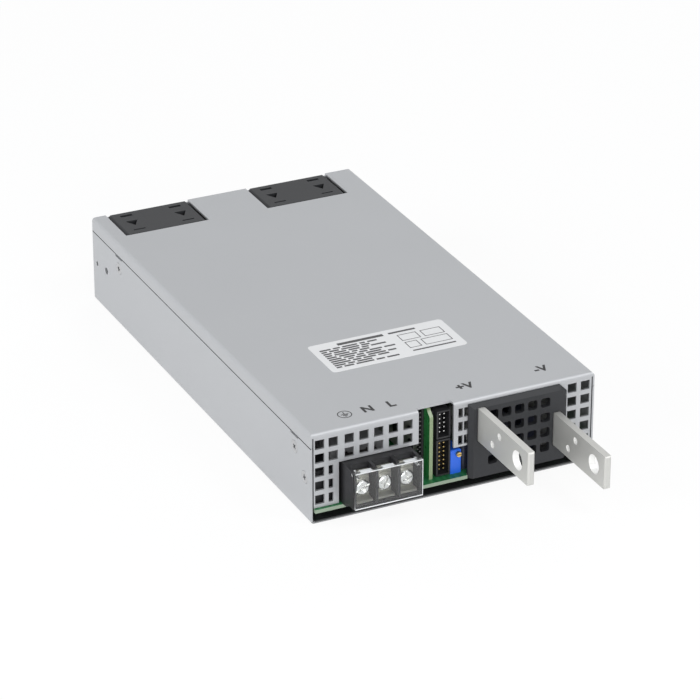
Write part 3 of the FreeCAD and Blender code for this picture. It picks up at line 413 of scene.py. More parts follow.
class Finish:
    """A material with the shared surface variation joined to its shader."""

    def __init__(self, name, dark, light, roughness,
                 cloud=40.0, grain=1500.0, share=0.3, bump=0.05, **shader):
        self.material = bpy.data.materials.new(name)
        self.material.use_nodes = True
        self.tree = self.material.node_tree
        self.shader = self.tree.nodes["Principled BSDF"]
        set_inputs(self.shader, shader)
        smooth, rough = roughness
        surface = self.group(surface_group, Dark=rgb(*dark), Light=rgb(*light), Cloud_Scale=cloud,
                             Grain_Scale=grain, Grain_Share=share, Smooth=smooth, Rough=rough)
        self.link(surface.outputs["Colour"], "Base Color")
        self.link(surface.outputs["Roughness"], "Roughness")
        self.relief = add_node(self.tree, "ShaderNodeBump", Strength=bump, Distance=RELIEF_DEPTH)
        self.tree.links.new(surface.outputs["Height"], self.relief.inputs["Height"])
        self.link(self.relief.outputs["Normal"], "Normal")

    def group(self, tree, **inputs):
        """Places a shared group in the material and sets its inputs."""
        node = add_node(self.tree, "ShaderNodeGroup")
        node.node_tree = tree
        set_inputs(node, inputs)
        return node

    def link(self, socket, label):
        """Feeds a socket into the shader."""
        self.tree.links.new(socket, self.shader.inputs[label])

    def stain(self, mask, colour):
        """Paints a colour over the finish where a mask is 1."""
        base = self.shader.inputs["Base Color"].links[0].from_socket
        self.link(mix_colours(self.tree, mask, base, rgb(*colour)), "Base Color")

    def lines(self, colour, scale, distortion=0.0, turn=0.0, strength=1.0):
        """Paints straight lines over the colour and raises them."""
        marks = self.group(line_group, Scale=scale, Distortion=distortion, Turn=turn)
        self.stain(spread(self.tree, marks.outputs["Mask"], 0.0, strength), colour)
        self.tree.links.new(marks.outputs["Mask"], self.relief.inputs["Height"])

    def cut_edges(self, across, colour):
        """Paints the cut edges of a board in the laminate's colour."""
        edges = self.group(edge_group, Across=across)
        self.stain(edges.outputs["Mask"], colour)

    def frosted_edges(self, across, rough):
        """Roughens the edges of a clear sheet."""
        edges = self.group(edge_group, Across=across)
        base = self.shader.inputs["Roughness"].links[0].from_socket
        self.link(spread(self.tree, edges.outputs["Mask"], base, rough), "Roughness")

    def where(self, *tests):
        """Mask that is 1 where every test holds; a test is an operation, a socket and its limits."""
        mask = 1.0
        for operation, *values in tests:
            mask = calculate(self.tree, "MULTIPLY", calculate(self.tree, operation, *values), mask)
        return mask

    def painted_seam_shade(self, seam_shade_colour, floor_edge_shade_colour):
        """Paints shade on the case: dark bands along the seams between the cover and the chassis and at
        the two front corners, and a darker front edge of the floor.
        """
        skin, side_half, corner_half, edge_depth = 0.2 * MM, 0.27 * MM, 0.3 * MM, 0.02 * MM
        lowest, highest = BOTTOM + SHEET, TOP - 1.8 * MM
        place = self.tree.nodes.new("ShaderNodeTexCoord")
        axes = self.tree.nodes.new("ShaderNodeSeparateXYZ")
        self.tree.links.new(place.outputs["Object"], axes.inputs[0])
        across = calculate(self.tree, "ABSOLUTE", axes.outputs["X"])
        back, up = axes.outputs["Y"], axes.outputs["Z"]
        sides = self.where(("COMPARE", up, SIDE_SEAM, side_half), ("GREATER_THAN", across, RIGHT - skin))
        corners = self.where(("COMPARE", across, CORNER_SEAM, corner_half),
                             ("LESS_THAN", back, FRONT + SHEET),
                             ("COMPARE", up, (lowest + highest) / 2, (highest - lowest) / 2))
        floor = self.where(("LESS_THAN", back, FRONT + edge_depth), ("LESS_THAN", up, lowest))
        self.stain(sides, seam_shade_colour)
        self.stain(corners, seam_shade_colour)
        self.stain(floor, floor_edge_shade_colour)


def metal_finishes():
    """Case sheet, heatsinks, screws, bars, terminals, pins and solder."""
    sheet = Finish("zinc_plated_sheet", (0.40, 0.41, 0.425), (0.455, 0.465, 0.48), (0.40, 0.54),
                   cloud=22.0, grain=2600.0, share=0.45, bump=0.03, Metallic=0.55)
    # Painted shade along the side seams, at the front corners and on the floor's front edge
    sheet.painted_seam_shade((0.07, 0.07, 0.075), (0.24, 0.245, 0.25))
    heatsink = Finish("extruded_aluminium", (0.55, 0.56, 0.57), (0.66, 0.67, 0.68), (0.3, 0.45),
                      cloud=80.0, bump=0.06, Metallic=1.0)
    heatsink.lines((0.5, 0.51, 0.52), 500.0, distortion=1.5, strength=0.35)
    return {
        "case_metal": sheet,
        "heatsink": heatsink,
        "screw_steel": Finish("plated_screw_steel", (0.46, 0.47, 0.48), (0.6, 0.6, 0.61), (0.25, 0.42),
                              cloud=300.0, grain=4000.0, bump=0.03, Metallic=1.0),
        "plated_metal": Finish("nickel_plate", (0.66, 0.66, 0.64), (0.8, 0.8, 0.78), (0.16, 0.32),
                               cloud=250.0, grain=4000.0, bump=0.02, Metallic=1.0),
        "tinned_bar": Finish("tinned_bar", (0.50, 0.50, 0.48), (0.57, 0.57, 0.55), (0.42, 0.56),
                             cloud=60.0, grain=2500.0, share=0.4, bump=0.04, Metallic=0.55),
        # Pale bore walls: brighter drilled metal, with painted light for the white seen through the
        # holes
        "drilled_bore_painted_light": Finish("drilled_bore_painted_light", (0.80, 0.80, 0.785), (0.88, 0.88, 0.865), (0.32, 0.48),
                               cloud=400.0, grain=4000.0, bump=0.03, Metallic=0.25),
        "terminal_tin": Finish("terminal_tin", (0.38, 0.375, 0.33), (0.46, 0.455, 0.4), (0.34, 0.5),
                               cloud=250.0, grain=4000.0, bump=0.03, Metallic=0.65),
        "gold": Finish("gold_plate", (0.60, 0.43, 0.16), (0.78, 0.6, 0.28), (0.2, 0.36),
                       cloud=400.0, grain=4000.0, bump=0.02, Metallic=1.0),
        "solder": Finish("solder_tin", (0.2, 0.2, 0.195), (0.3, 0.3, 0.29), (0.3, 0.46),
                         cloud=900.0, grain=5000.0, bump=0.04, Metallic=1.0),
    }


def plastic_finishes():
    """Mouldings, tape, films and the clear cover."""
    clear = Finish("clear_polycarbonate", (0.93, 0.95, 0.96), (0.97, 0.98, 0.99), (0.02, 0.06),
                   cloud=120.0, grain=2500.0, bump=0.01, Transmission_Weight=1.0, IOR=1.45)
    clear.frosted_edges((0, 1, 0), 0.55)
    return {
        "clear_plastic": clear,
        # Pale frosted finish of the cover's rim strips and lug caps, a painted highlight of its bright
        # edges
        "frosted_rim_highlight": Finish("frosted_rim_highlight", (0.80, 0.82, 0.83), (0.88, 0.90, 0.91), (0.35, 0.5),
                              cloud=300.0, grain=3000.0, bump=0.03, Transmission_Weight=0.3, IOR=1.45),
        "dark_plastic": Finish("charcoal_moulding", (0.017, 0.018, 0.020), (0.028, 0.029, 0.032),
                               (0.46, 0.62), cloud=90.0, grain=3000.0, share=0.5, bump=0.12,
                               Specular_IOR_Level=0.34),
        "black_plastic": Finish("black_moulding", (0.012, 0.012, 0.013), (0.024, 0.024, 0.026),
                                (0.34, 0.5), cloud=120.0, grain=3000.0, share=0.5, bump=0.08,
                                Specular_IOR_Level=0.4),
        "blue_plastic": Finish("trimmer_blue", (0.012, 0.085, 0.52), (0.022, 0.13, 0.66), (0.3, 0.42),
                               cloud=300.0, grain=3000.0, bump=0.05),
        "yellow_plastic": Finish("tape_yellow", (0.62, 0.44, 0.05), (0.75, 0.56, 0.1), (0.3, 0.45),
                                 cloud=150.0, grain=2500.0, bump=0.05),
        "black_film": Finish("black_film", (0.014, 0.014, 0.015), (0.022, 0.022, 0.024), (0.25, 0.36),
                             cloud=60.0, grain=2000.0, bump=0.02),
        "shield_film": Finish("shield_film", (0.32, 0.325, 0.29), (0.42, 0.425, 0.38), (0.3, 0.45),
                              cloud=90.0, grain=2500.0, bump=0.03),
    }


def component_finishes():
    """Windings, cores and cans of the components inside."""
    winding = Finish("taped_winding", (0.022, 0.018, 0.016), (0.04, 0.033, 0.03), (0.4, 0.56),
                     cloud=200.0, bump=0.2)
    winding.lines((0.012, 0.01, 0.009), 160.0, turn=QUARTER, strength=0.6)
    return {
        "copper_winding": winding,
        "ferrite": Finish("ferrite_grey", (0.035, 0.036, 0.038), (0.06, 0.06, 0.062), (0.5, 0.7),
                          cloud=120.0, grain=1800.0, share=0.6, bump=0.1),
        "choke_grey": Finish("choke_grey", (0.19, 0.19, 0.2), (0.27, 0.27, 0.28), (0.45, 0.6),
                             cloud=140.0, grain=2000.0, share=0.5, bump=0.08),
        "capacitor_can": Finish("capacitor_sleeve", (0.015, 0.017, 0.03), (0.03, 0.034, 0.055),
                                (0.25, 0.38), cloud=100.0, bump=0.03),
    }


def board_finishes():
    """Solder mask with traces and bare laminate edges, for each board."""
    main = Finish("solder_mask", (0.012, 0.10, 0.035), (0.025, 0.17, 0.06), (0.22, 0.36),
                  cloud=150.0, bump=0.1)
    main.lines((0.04, 0.24, 0.09), 110.0, distortion=3.0, strength=0.6)
    main.cut_edges((0, 0, 1), (0.21, 0.265, 0.2))
    control = Finish("control_solder_mask", (0.015, 0.16, 0.03), (0.03, 0.26, 0.06), (0.22, 0.36),
                     cloud=200.0, bump=0.1)
    control.lines((0.05, 0.32, 0.1), 150.0, distortion=2.0, turn=QUARTER, strength=0.5)
    control.cut_edges((1, 0, 0), (0.19, 0.25, 0.14))
    return {"circuit_board": main, "control_board": control}


def print_finishes():
    """Label film and the inks on it and on the case."""
    return {
        "label_paper": Finish("label_film", (0.63, 0.635, 0.64), (0.68, 0.685, 0.69), (0.38, 0.5),
                              cloud=80.0, grain=3000.0, bump=0.03),
        "mark_ink": Finish("mark_ink", (0.006, 0.006, 0.007), (0.016, 0.016, 0.017), (0.45, 0.65),
                           cloud=500.0, grain=4000.0, bump=0.02),
        "label_ink": Finish("label_ink", (0.03, 0.03, 0.032), (0.06, 0.06, 0.062), (0.4, 0.55),
                            cloud=600.0, grain=5000.0, bump=0.02),
    }


def make_finishes():
    """Every finish of the supply, by the record's material slot or by piece."""
    made = {}
    for family in (metal_finishes, plastic_finishes, component_finishes, board_finishes, print_finishes):
        made.update(family())
    return {name: finish.material for name, finish in made.items()}


finishes = make_finishes()


def paint_nodes():
    """Gives every solid of the frame its finish."""
    for item in frame["record"]["subparts"]:
        name = item["node"]
        finish = finishes[OWN_FINISHES.get(name, item["material_slot"])]
        if not nodes[name].material_slots:
            nodes[name].data.materials.append(finish)
        for place in nodes[name].material_slots:
            place.material = finish


# Screws

def cross_bit(length, width, depth):
    """Crossed cutter for a screw recess, with its middle at the head's face."""
    bit = plate((-width / 2, -width / 2, -depth), (width / 2, width / 2, depth))
    arm = (length - width) / 2
    for x, y in ((1, 0), (0, 1), (-1, 0), (0, -1)):
        pick(bit, "FACE", lambda middle, normal: normal.x * x + normal.y * y > 0.9
             and at(middle.x * y, 0) and at(middle.y * x, 0))
        extrude((arm * x, arm * y, 0))
    bpy.ops.object.mode_set(mode="OBJECT")
    return bit


def countersunk_screw():
    """Flat-topped screw that fills a countersunk hole of the side wall."""
    foot_share = 0.66
    screw = round_blank(radius=2.82 * MM, height=SHEET, sides=40)
    pick(screw, "FACE", faces_down)
    bpy.ops.transform.resize(value=(foot_share, foot_share, 1))
    round_edges(screw, width=0.24 * MM, segments=3, wanted=top_rim)
    carve(screw, cross_bit(length=2.5 * MM, width=0.8 * MM, depth=0.65 * MM))
    return screw


def fan_screw():
    """Screw end that stands flush in a fan hole of the rear wall."""
    screw = round_blank(radius=1.52 * MM, height=1.4 * MM, sides=32)
    round_edges(screw, width=0.35 * MM, segments=3, wanted=top_rim)
    carve(screw, cross_bit(length=1.9 * MM, width=0.45 * MM, depth=0.6 * MM))
    return screw


def terminal_screw():
    """Pan-head terminal screw with a slot and a crossed recess."""
    head_radius, head_height, shank_radius, shank_length = 3.4 * MM, 2.2 * MM, 1.9 * MM, 6.8 * MM
    slot_reach, slot_half, slot_depth = 4 * MM, 0.45 * MM, 0.85 * MM
    screw = round_blank(head_radius, head_height, sides=56)
    pick(screw, "FACE", faces_down)
    bpy.ops.mesh.inset(thickness=head_radius - shank_radius)
    extrude((0, 0, -shank_length))
    round_edges(screw, width=1.0 * MM, segments=5, wanted=top_rim)
    carve(screw, cross_bit(length=4.4 * MM, width=1.0 * MM, depth=1.3 * MM))
    carve(screw, plate((-slot_reach, -slot_half, -slot_depth), (slot_reach, slot_half, PAST)))
    return screw


def fit_cover_screws():
    """Three flush screws in each side of the case, each left at an angle of its own."""
    screw = countersunk_screw()
    first_spin, spin_step = 17, 31
    upper, lower = TOP - 12.4 * MM, BOTTOM + 19.1 * MM
    places = ((FRONT + 15.5 * MM, upper), (REAR - 31.4 * MM, upper), (FRONT + 5.9 * MM, lower))
    for side, x, tilt in (("left", LEFT, -QUARTER), ("right", RIGHT, QUARTER)):
        for number, (y, z) in enumerate(places, 1):
            one = set_copy(screw, first_spin + spin_step * number, (x, y, z), (0, tilt, 0))
            outfit(one, f"{side}_cover_screw_{number}", "case", "screw_steel")
    bpy.data.objects.remove(screw)


def fit_fan_screws():
    """Two screws behind each fan, at opposite corners."""
    screw = fan_screw()
    reach, sink, spin_step = 16 * MM, 0.1 * MM, 40
    for side in ("left", "right"):
        low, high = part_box(side + "_fan_frame")
        middle = (low + high) / 2
        for number, hand in enumerate((-1, 1), 1):
            place = (middle.x + reach * hand, REAR - sink, middle.z - reach * hand)
            one = set_copy(screw, spin_step * number, place, (-QUARTER, 0, 0))
            outfit(one, f"{side}_fan_screw_{number}", "case", "screw_steel")
    bpy.data.objects.remove(screw)


def fit_terminal_screws():
    """Screw in each way of the terminal block, in place of its plain solid."""
    wire_screw = terminal_screw()
    first_spin, spin_step = 25, 40
    for number, name in enumerate(("earth", "neutral", "live")):
        node = name + "_terminal_screw"
        low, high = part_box(node)
        place = ((low.x + high.x) / 2, low.y, (low.z + high.z) / 2)
        screw = set_copy(wire_screw, first_spin + spin_step * number, place, (QUARTER, 0, 0))
        outfit(screw, name + "_pan_screw", name + "_screw", "plated_metal")
        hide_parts(node)
    bpy.data.objects.remove(wire_screw)


# Output bars and the insulator around them

def insulator_vents(low, high):
    """Cutter for the grid of round-cornered vents between two corners of the insulator."""
    half_width, half_height, corner = 2.2 * MM, 2.1 * MM, 0.95 * MM
    first_across, pitch_across, columns = 10.8 * MM, 6.1 * MM, 5
    first_down, pitch_down, rows = 5.9 * MM, 6.95 * MM, 4
    vent = plate((-half_width, low.y - PAST, -half_height), (half_width, high.y + PAST, half_height))
    round_edges(vent, corner, 4, lambda first, second: at(first.x, second.x) and at(first.z, second.z))
    vents = []
    for column in range(columns):
        for row in range(rows):
            x = low.x + first_across + pitch_across * column
            z = high.z - first_down - pitch_down * row
            vents.append(move(copy_of(vent), (x, 0, z)))
    bpy.data.objects.remove(vent)
    return merge(vents)


def mould_insulator():
    """Plate with a cut corner, bevelled sides, slots for the bars and a grid of vents."""
    low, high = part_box("bar_insulator")
    cut_corner, bevel, gap = 3.2 * MM, 1.7 * MM, 0.3 * MM
    piece = plate(low, high)
    round_edges(piece, cut_corner, 1, lambda first, second: at(first.x, high.x) and at(second.x, high.x)
                and at(first.z, high.z) and at(second.z, high.z))
    round_edges(piece, bevel, 1, lambda first, second: at(first.y, low.y) and at(second.y, low.y)
                and max(first.z, second.z) > low.z + cut_corner)
    for name in ("positive_bar", "negative_bar"):
        bar_low, bar_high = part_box(name)
        carve(piece, plate((bar_low.x - gap, low.y - PAST, bar_high.z - BAR_WIDTH - gap),
                           (bar_high.x + gap, high.y + PAST, bar_high.z + gap)))
    carve(piece, insulator_vents(low, high))
    outfit(piece, "vented_insulator", "case", "dark_plastic")
    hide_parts("bar_insulator")


def line_bar_holes():
    """Bright drilled walls in the bolt hole and the two small holes of each bar: bare drilled metal,
    with painted light for the white seen through the holes.
    """
    wall, inset = 0.06 * MM, 0.05 * MM
    for name in ("positive", "negative"):
        low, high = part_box(name + "_bar")
        middle = high.z - BAR_WIDTH / 2
        sleeves = []
        for back, rise, radius in BAR_HOLES:
            sleeve = ring(radius, wall, high.x - low.x - 2 * inset)
            sleeves.append(move(sleeve, (low.x + inset, low.y + back, middle + rise), (0, QUARTER, 0)))
        outfit(merge(sleeves), name + "_bar_bores", "case", "tinned_bar", "drilled_bore_painted_light")


def fit_shade_pad():
    """Dark pad on the main board behind the insulator, with a strip on each side of the negative bar:
    painted shade on the board seen through the vents.
    """
    lift, thickness, gap, joint, edge = 0.02 * MM, 0.8 * MM, 0.3 * MM, 0.04 * MM, 0.2 * MM
    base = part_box("main_board")[1].z + lift
    top = base + thickness
    left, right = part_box("positive_bar")[1].x + gap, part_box("bar_insulator")[1].x
    bar_left, bar_right = [corner.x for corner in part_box("negative_bar")]
    block_low, block_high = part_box("output_capacitors")
    middle, rear = block_low.y - gap, block_high.y
    pad = merge([plate((left, FRONT + gap, base), (right, middle, top)),
                 plate((block_high.x + gap, middle + joint, base), (bar_left - gap, rear, top)),
                 plate((bar_right + gap, middle + joint, base), (right, rear, top))])
    round_edges(pad, edge, 2, lambda first, second: at(first.z, top) and at(second.z, top))
    # A dark sheet that paints shade on the board behind the insulator
    outfit(pad, "output_shade_pad", "case", "black_film")


# Fan rotors

def fan_blade():
    """Blade that twists and narrows from the hub to a curved tip; the shaft lies along Z."""
    root, root_end, half_thickness, half_depth = 8.6 * MM, 10.4 * MM, 0.5 * MM, 7.0 * MM
    steps, step_reach, tip_radius, tip_depth = 6, 1.5 * MM, 18.1 * MM, 40 * MM
    pitch, twist, narrowing = math.radians(38), math.radians(3.5), (1, 0.97, 0.99)
    blade = plate((root, -half_thickness, -half_depth), (root_end, half_thickness, half_depth))
    pick_all(blade)
    bpy.ops.transform.rotate(value=pitch, orient_axis="X", center_override=(0, 0, 0))
    pick(blade, "FACE", lambda middle, normal: normal.x > 0.9)
    for _ in range(steps):
        extrude((step_reach, 0, 0))
        bpy.ops.transform.rotate(value=twist, orient_axis="X", center_override=(0, 0, 0))
        bpy.ops.transform.resize(value=narrowing, center_override=(0, 0, 0))
    bpy.ops.object.mode_set(mode="OBJECT")
    carve(blade, rod(tip_radius, tip_depth, sides=96), "INTERSECT")
    return blade


def fan_hub():
    """Hub with a rounded front edge and a shallow dish in its face, and the shaft behind it."""
    front, rear, radius, front_edge = -10.5 * MM, 8.1 * MM, 9.7 * MM, 1.4 * MM
    shaft_radius, shaft_length, dish_rim, dish_depth = 1.5 * MM, 3.0 * MM, 1.2 * MM, 0.5 * MM
    hub = rod(radius, rear - front, sides=72, middle=(front + rear) / 2)
    pick(hub, "FACE", faces_up)
    bpy.ops.mesh.inset(thickness=radius - shaft_radius)
    extrude((0, 0, shaft_length))
    round_edges(hub, front_edge, 4, lambda first, second: at(first.z, front) and at(second.z, front))
    pick(hub, "FACE", faces_down)
    bpy.ops.mesh.inset(thickness=dish_rim)
    extrude((0, 0, dish_depth))
    bpy.ops.object.mode_set(mode="OBJECT")
    return hub


def fit_rotors():
    """Moulded rotor in each fan, in place of its plain solid."""
    count, crease = 5, 40
    blade = fan_blade()
    blades = []
    for number in range(count):
        blades.append(set_copy(blade, 360 / count * number, (0, 0, 0), (0, 0, 0)))
    bpy.data.objects.remove(blade)
    rotor = merge([fan_hub()] + blades)
    for side, spin in (("left", 20), ("right", 52)):
        low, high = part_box(side + "_fan_frame")
        one = set_copy(rotor, spin, (low + high) / 2, (-QUARTER, 0, 0))
        outfit(one, side + "_fan_blades", side + "_fan", "black_plastic", smooth=crease)
        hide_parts(side + "_fan_rotor")
    bpy.data.objects.remove(rotor)


# Marks on the top and print on the label

def letter_mark(name, words, x, y):
    """Printed letters on the top, read from the front."""
    height, capital_share, weight = 4.7 * MM, 0.7, 0.05
    bpy.ops.object.select_all(action="DESELECT")
    bpy.ops.object.text_add(location=(0, 0, 0))
    letters = bpy.context.object.data
    letters.body = words
    letters.size = height / capital_share
    letters.align_x = "CENTER"
    letters.align_y = "CENTER"
    letters.extrude = MARK_THICKNESS / 2
    letters.offset = weight * height
    bpy.ops.object.convert(target="MESH")
    mark = bpy.context.object
    pick_all(mark)
    bpy.ops.mesh.remove_doubles(threshold=0.001 * MM)

    # Slivers in the caps have no normal, so they are picked with the caps and go into them
    pick(mark, "FACE", lambda middle, normal: abs(normal.x) + abs(normal.y) < 0.1)
    bpy.ops.mesh.dissolve_faces()
    bpy.ops.object.mode_set(mode="OBJECT")
    move(mark, (x, y, MARK_BASE + MARK_THICKNESS / 2))
    outfit(mark, name, "case", "black_plastic", "mark_ink")


def bar_mark(x, y, width, height):
    """Thin printed bar with softened corners."""
    corner_share = 0.2
    low = (x - width / 2, y - height / 2, MARK_BASE)
    high = (x + width / 2, y + height / 2, MARK_BASE + MARK_THICKNESS)
    bar = plate(low, high)
    round_edges(bar, corner_share * min(width, height), 2, upright)
    return bar


def print_marks():
    """Earth sign and letters by the terminals and the output bars."""
    x, y = LEFT + 20.4 * MM, FRONT + 10.7 * MM
    line, stem = 0.42 * MM, 2.0 * MM
    circle = ring(radius=3.1 * MM, wall=0.38 * MM, height=MARK_THICKNESS)
    sign = [move(circle, (x, y, MARK_BASE)), bar_mark(x, y + stem / 2, line, stem)]
    for drop, width in ((0, 3.4 * MM), (0.85 * MM, 2.2 * MM), (1.7 * MM, 1.0 * MM)):
        sign.append(bar_mark(x, y - drop, width, line))
    outfit(merge(sign), "earth_mark", "case", "black_plastic", "mark_ink")
    for name, words, across, back in (("neutral_mark", "N", 30.9 * MM, 10.8 * MM),
                                      ("live_mark", "L", 41.5 * MM, 10.8 * MM),
                                      ("positive_mark", "+V", 76.0 * MM, 11.9 * MM),
                                      ("negative_mark", "-V", 112.0 * MM, 12.4 * MM)):
        letter_mark(name, words, LEFT + across, FRONT + back)


def print_label():
    """Label with rounded corners, and plain bars and frames in place of its print."""
    ink, corner, bar_corner, frame_line = 0.03 * MM, 1.8 * MM, 0.1 * MM, 0.38 * MM
    low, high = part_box("blank_label")
    base = high.z - ink
    width, length = high.x - low.x, high.y - low.y
    sheet = plate(low, (high.x, high.y, base))
    round_edges(sheet, corner, 6, upright)
    outfit(sheet, "rounded_label", "case", "label_paper")
    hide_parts("blank_label")

    def bar(across, up, wide, tall):
        """Printed bar from shares of the label's width and length."""
        x, y = low.x + width * across, low.y + length * up
        piece = plate((x, y, base), (x + width * wide, y + length * tall, high.z))
        round_edges(piece, bar_corner, 1, upright)
        return piece

    def box_outline(across, up, wide, tall):
        """Printed outline of a box from the same shares."""
        bpy.ops.object.select_all(action="DESELECT")
        place = (low.x + width * (across + wide / 2), low.y + length * (up + tall / 2), base)
        bpy.ops.mesh.primitive_plane_add(size=1, location=place)
        outline = bpy.context.object
        outline.scale = (width * wide, length * tall, 1)
        bpy.ops.object.transform_apply(location=True, rotation=True, scale=True)
        return raise_wall(outline, frame_line, ink)

    prints = [bar(0.2, 0.83, 0.34, 0.075), bar(0.58, 0.845, 0.2, 0.05)]

    # Lines of words: each line starts some words further on in the list of lengths
    word_lengths = (0.08, 0.05, 0.11, 0.04, 0.07, 0.13, 0.06, 0.09)
    line_ends = (0.56, 0.50, 0.54, 0.38, 0.57, 0.46, 0.55, 0.52, 0.33, 0.56)
    margin, space, first_line, pitch, tall, words_on = 0.05, 0.018, 0.74, 0.07, 0.044, 3
    for row, end in enumerate(line_ends):
        across, word = margin, row * words_on
        long = word_lengths[word % len(word_lengths)]
        while across + long < end:
            prints.append(bar(across, first_line - row * pitch, long, tall))
            across += long + space
            word += 1
            long = word_lengths[word % len(word_lengths)]
    prints += [box_outline(0.62, 0.54, 0.14, 0.22), box_outline(0.79, 0.54, 0.15, 0.22),
               box_outline(0.62, 0.26, 0.09, 0.22), box_outline(0.74, 0.26, 0.2, 0.22),
               bar(0.62, 0.14, 0.32, 0.038)]
    outfit(merge(prints), "label_bars", "case", "label_paper", "label_ink")


# Control board details

def fit_pin_carrier():
    """Black carrier of the header pins on the control board's left face."""
    low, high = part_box("control_board")
    front, rear, bottom, top = 5.2 * MM, 9.4 * MM, 1.2 * MM, 1.4 * MM
    thickness, sink = 1.0 * MM, 0.1 * MM
    carrier = plate((low.x - thickness, low.y + front, low.z + bottom),
                    (low.x + sink, low.y + rear, high.z - top))
    round_edges(carrier, width=0.2 * MM)
    outfit(carrier, "header_pin_carrier", "case", "black_plastic")


def fit_pin_tails():
    """Two columns of soldered pin tails that stand on the carrier."""
    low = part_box("control_board")[0]
    rows, columns, pitch = 14, 2, 2 * MM
    first_back, first_up, stand = 6.3 * MM, 2.6 * MM, 1.3 * MM
    point_share, point_edge = 0.6, 0.12 * MM
    tail = rod(radius=0.36 * MM, height=0.8 * MM, sides=12)
    pick(tail, "FACE", faces_up)
    bpy.ops.transform.resize(value=(point_share, point_share, 1))
    round_edges(tail, point_edge, 2, lambda first, second: first.z > 0 and second.z > 0)
    tails = []
    for row in range(rows):
        for column in range(columns):
            place = (low.x - stand, low.y + first_back + pitch * column, low.z + first_up + pitch * row)
            tails.append(move(copy_of(tail), place, (0, -QUARTER, 0)))
    bpy.data.objects.remove(tail)
    outfit(merge(tails), "header_pin_tails", "case", "plated_metal", "solder")


def fit_chips():
    """Small chips on the control board's left face."""
    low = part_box("control_board")[0]
    height, sink = 1.1 * MM, 0.1 * MM

    # Place behind the board's front edge and above its lower edge, depth and height, in millimetres
    places = ((14, 6, 4, 5), (15, 14, 3, 3), (20, 20, 5, 6), (26, 8, 6, 5), (33, 18, 4, 4))
    chips = []
    for back, up, deep, tall in places:
        chips.append(plate((low.x - height, low.y + back * MM, low.z + up * MM),
                           (low.x + sink, low.y + (back + deep) * MM, low.z + (up + tall) * MM)))
    chips = merge(chips)
    round_edges(chips, width=0.15 * MM, segments=1)
    outfit(chips, "control_chips", "case", "black_plastic")


def fit_shield():
    """Film on the control board's left face, with its upper edge folded away from the board."""
    low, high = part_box("control_board")
    outer, inner = low.x - 0.35 * MM, low.x - 0.05 * MM
    front, rear, bottom, top = 10 * MM, 2 * MM, 1.5 * MM, 2.5 * MM
    corner, folds = 2.5 * MM, ((-0.5 * MM, 0, 0.6 * MM), (-1.5 * MM, 0, 0.3 * MM))
    film = plate((outer, low.y + front, low.z + bottom), (inner, high.y - rear, high.z - top))
    round_edges(film, corner, 4, lambda first, second: at(first.y, second.y) and at(first.z, second.z)
                and first.z < low.z + 2 * corner)
    pick(film, "FACE", faces_up)
    for fold in folds:
        extrude(fold)
    bpy.ops.object.mode_set(mode="OBJECT")
    outfit(film, "control_shield", "case", "dark_plastic", "shield_film")


# Trim on the front

def fit_floor_edge_shade():
    """Black strip at the insulation sheet's front, folded down over the front of the floor: painted
    shade on the floor's front edge.
    """
    low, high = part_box("insulation_sheet")
    outer, inner, clear = FRONT - 0.22 * MM, FRONT - 0.02 * MM, 0.03 * MM
    lip, fold = 0.3 * MM, 0.08 * MM
    edge = plate((low.x, outer, low.z + clear), (high.x, inner, high.z - clear))
    pick(edge, "FACE", faces_down)
    extrude((0, 0, -lip))
    pick(edge, "FACE", lambda middle, normal: normal.y > 0.9 and middle.z > low.z)
    extrude((0, low.y - inner, 0))
    round_edges(edge, fold, 2, lambda first, second: at(first.y, outer) and at(second.y, outer)
                and min(first.z, second.z) > low.z)
    # A dark strip that paints shade on the floor's front edge
    outfit(edge, "floor_edge_shade_strip", "case", "black_film")


def fit_sense_capacitor():
    """Small sleeved capacitor on the main board beside the trimmer."""
    board_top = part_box("main_board")[1].z
    low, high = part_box("trimmer")
    height, gap, back = 11.5 * MM, 2.9 * MM, 3.6 * MM
    crimp, dish_depth = 0.25 * MM, 0.15 * MM
    can = round_blank(radius=2.0 * MM, height=height, sides=40)
    round_edges(can, width=0.45 * MM, segments=4, wanted=top_rim)
    pick(can, "FACE", faces_up)
    bpy.ops.mesh.inset(thickness=crimp)
    extrude((0, 0, -dish_depth))
    bpy.ops.object.mode_set(mode="OBJECT")
    move(can, (high.x + gap, low.y + back, board_top + height))
    outfit(can, "sense_capacitor", "case", "capacitor_can")


def fit_cover_rim_highlight():
    """Bright frosted strips on three sides of the clear cover's face and a thin cap on each of its lugs:
    painted highlights of the cover's light-catching edges.
    """
    low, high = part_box("terminal_cover")
    wide, thin, proud, joint, clear = 0.42 * MM, 0.26 * MM, 0.12 * MM, 0.02 * MM, 0.01 * MM
    cap_half, cap_front, cap_rear, cap_height = 2.6 * MM, low.y + 0.1 * MM, low.y + 2.4 * MM, 0.1 * MM
    spans = [((low.x, low.z), (high.x, low.z + wide)), ((low.x, high.z - wide), (high.x, high.z)),
             ((high.x - thin, low.z + wide + joint), (high.x, high.z - wide - joint))]
    rim = [plate((x, low.y - proud, z), (end, low.y - clear, top)) for (x, z), (end, top) in spans]
    cap_base = high.z + clear
    for name in ("earth", "neutral", "live"):
        screw_low, screw_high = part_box(name + "_terminal_screw")
        middle = (screw_low.x + screw_high.x) / 2
        rim.append(plate((middle - cap_half, cap_front, cap_base),
                         (middle + cap_half, cap_rear, cap_base + cap_height)))
    rim = merge(rim)
    round_edges(rim, width=0.04 * MM)
    outfit(rim, "cover_rim", "flip_cover", "clear_plastic", "frosted_rim_highlight")


# Studio

def seen_plainly(tree):
    """1 where a ray comes from the camera, a reflection or clear plastic."""
    path = tree.nodes.new("ShaderNodeLightPath")
    either = calculate(tree, "MAXIMUM", path.outputs["Is Camera Ray"], path.outputs["Is Glossy Ray"])
    return calculate(tree, "MAXIMUM", either, path.outputs["Is Transmission Ray"])


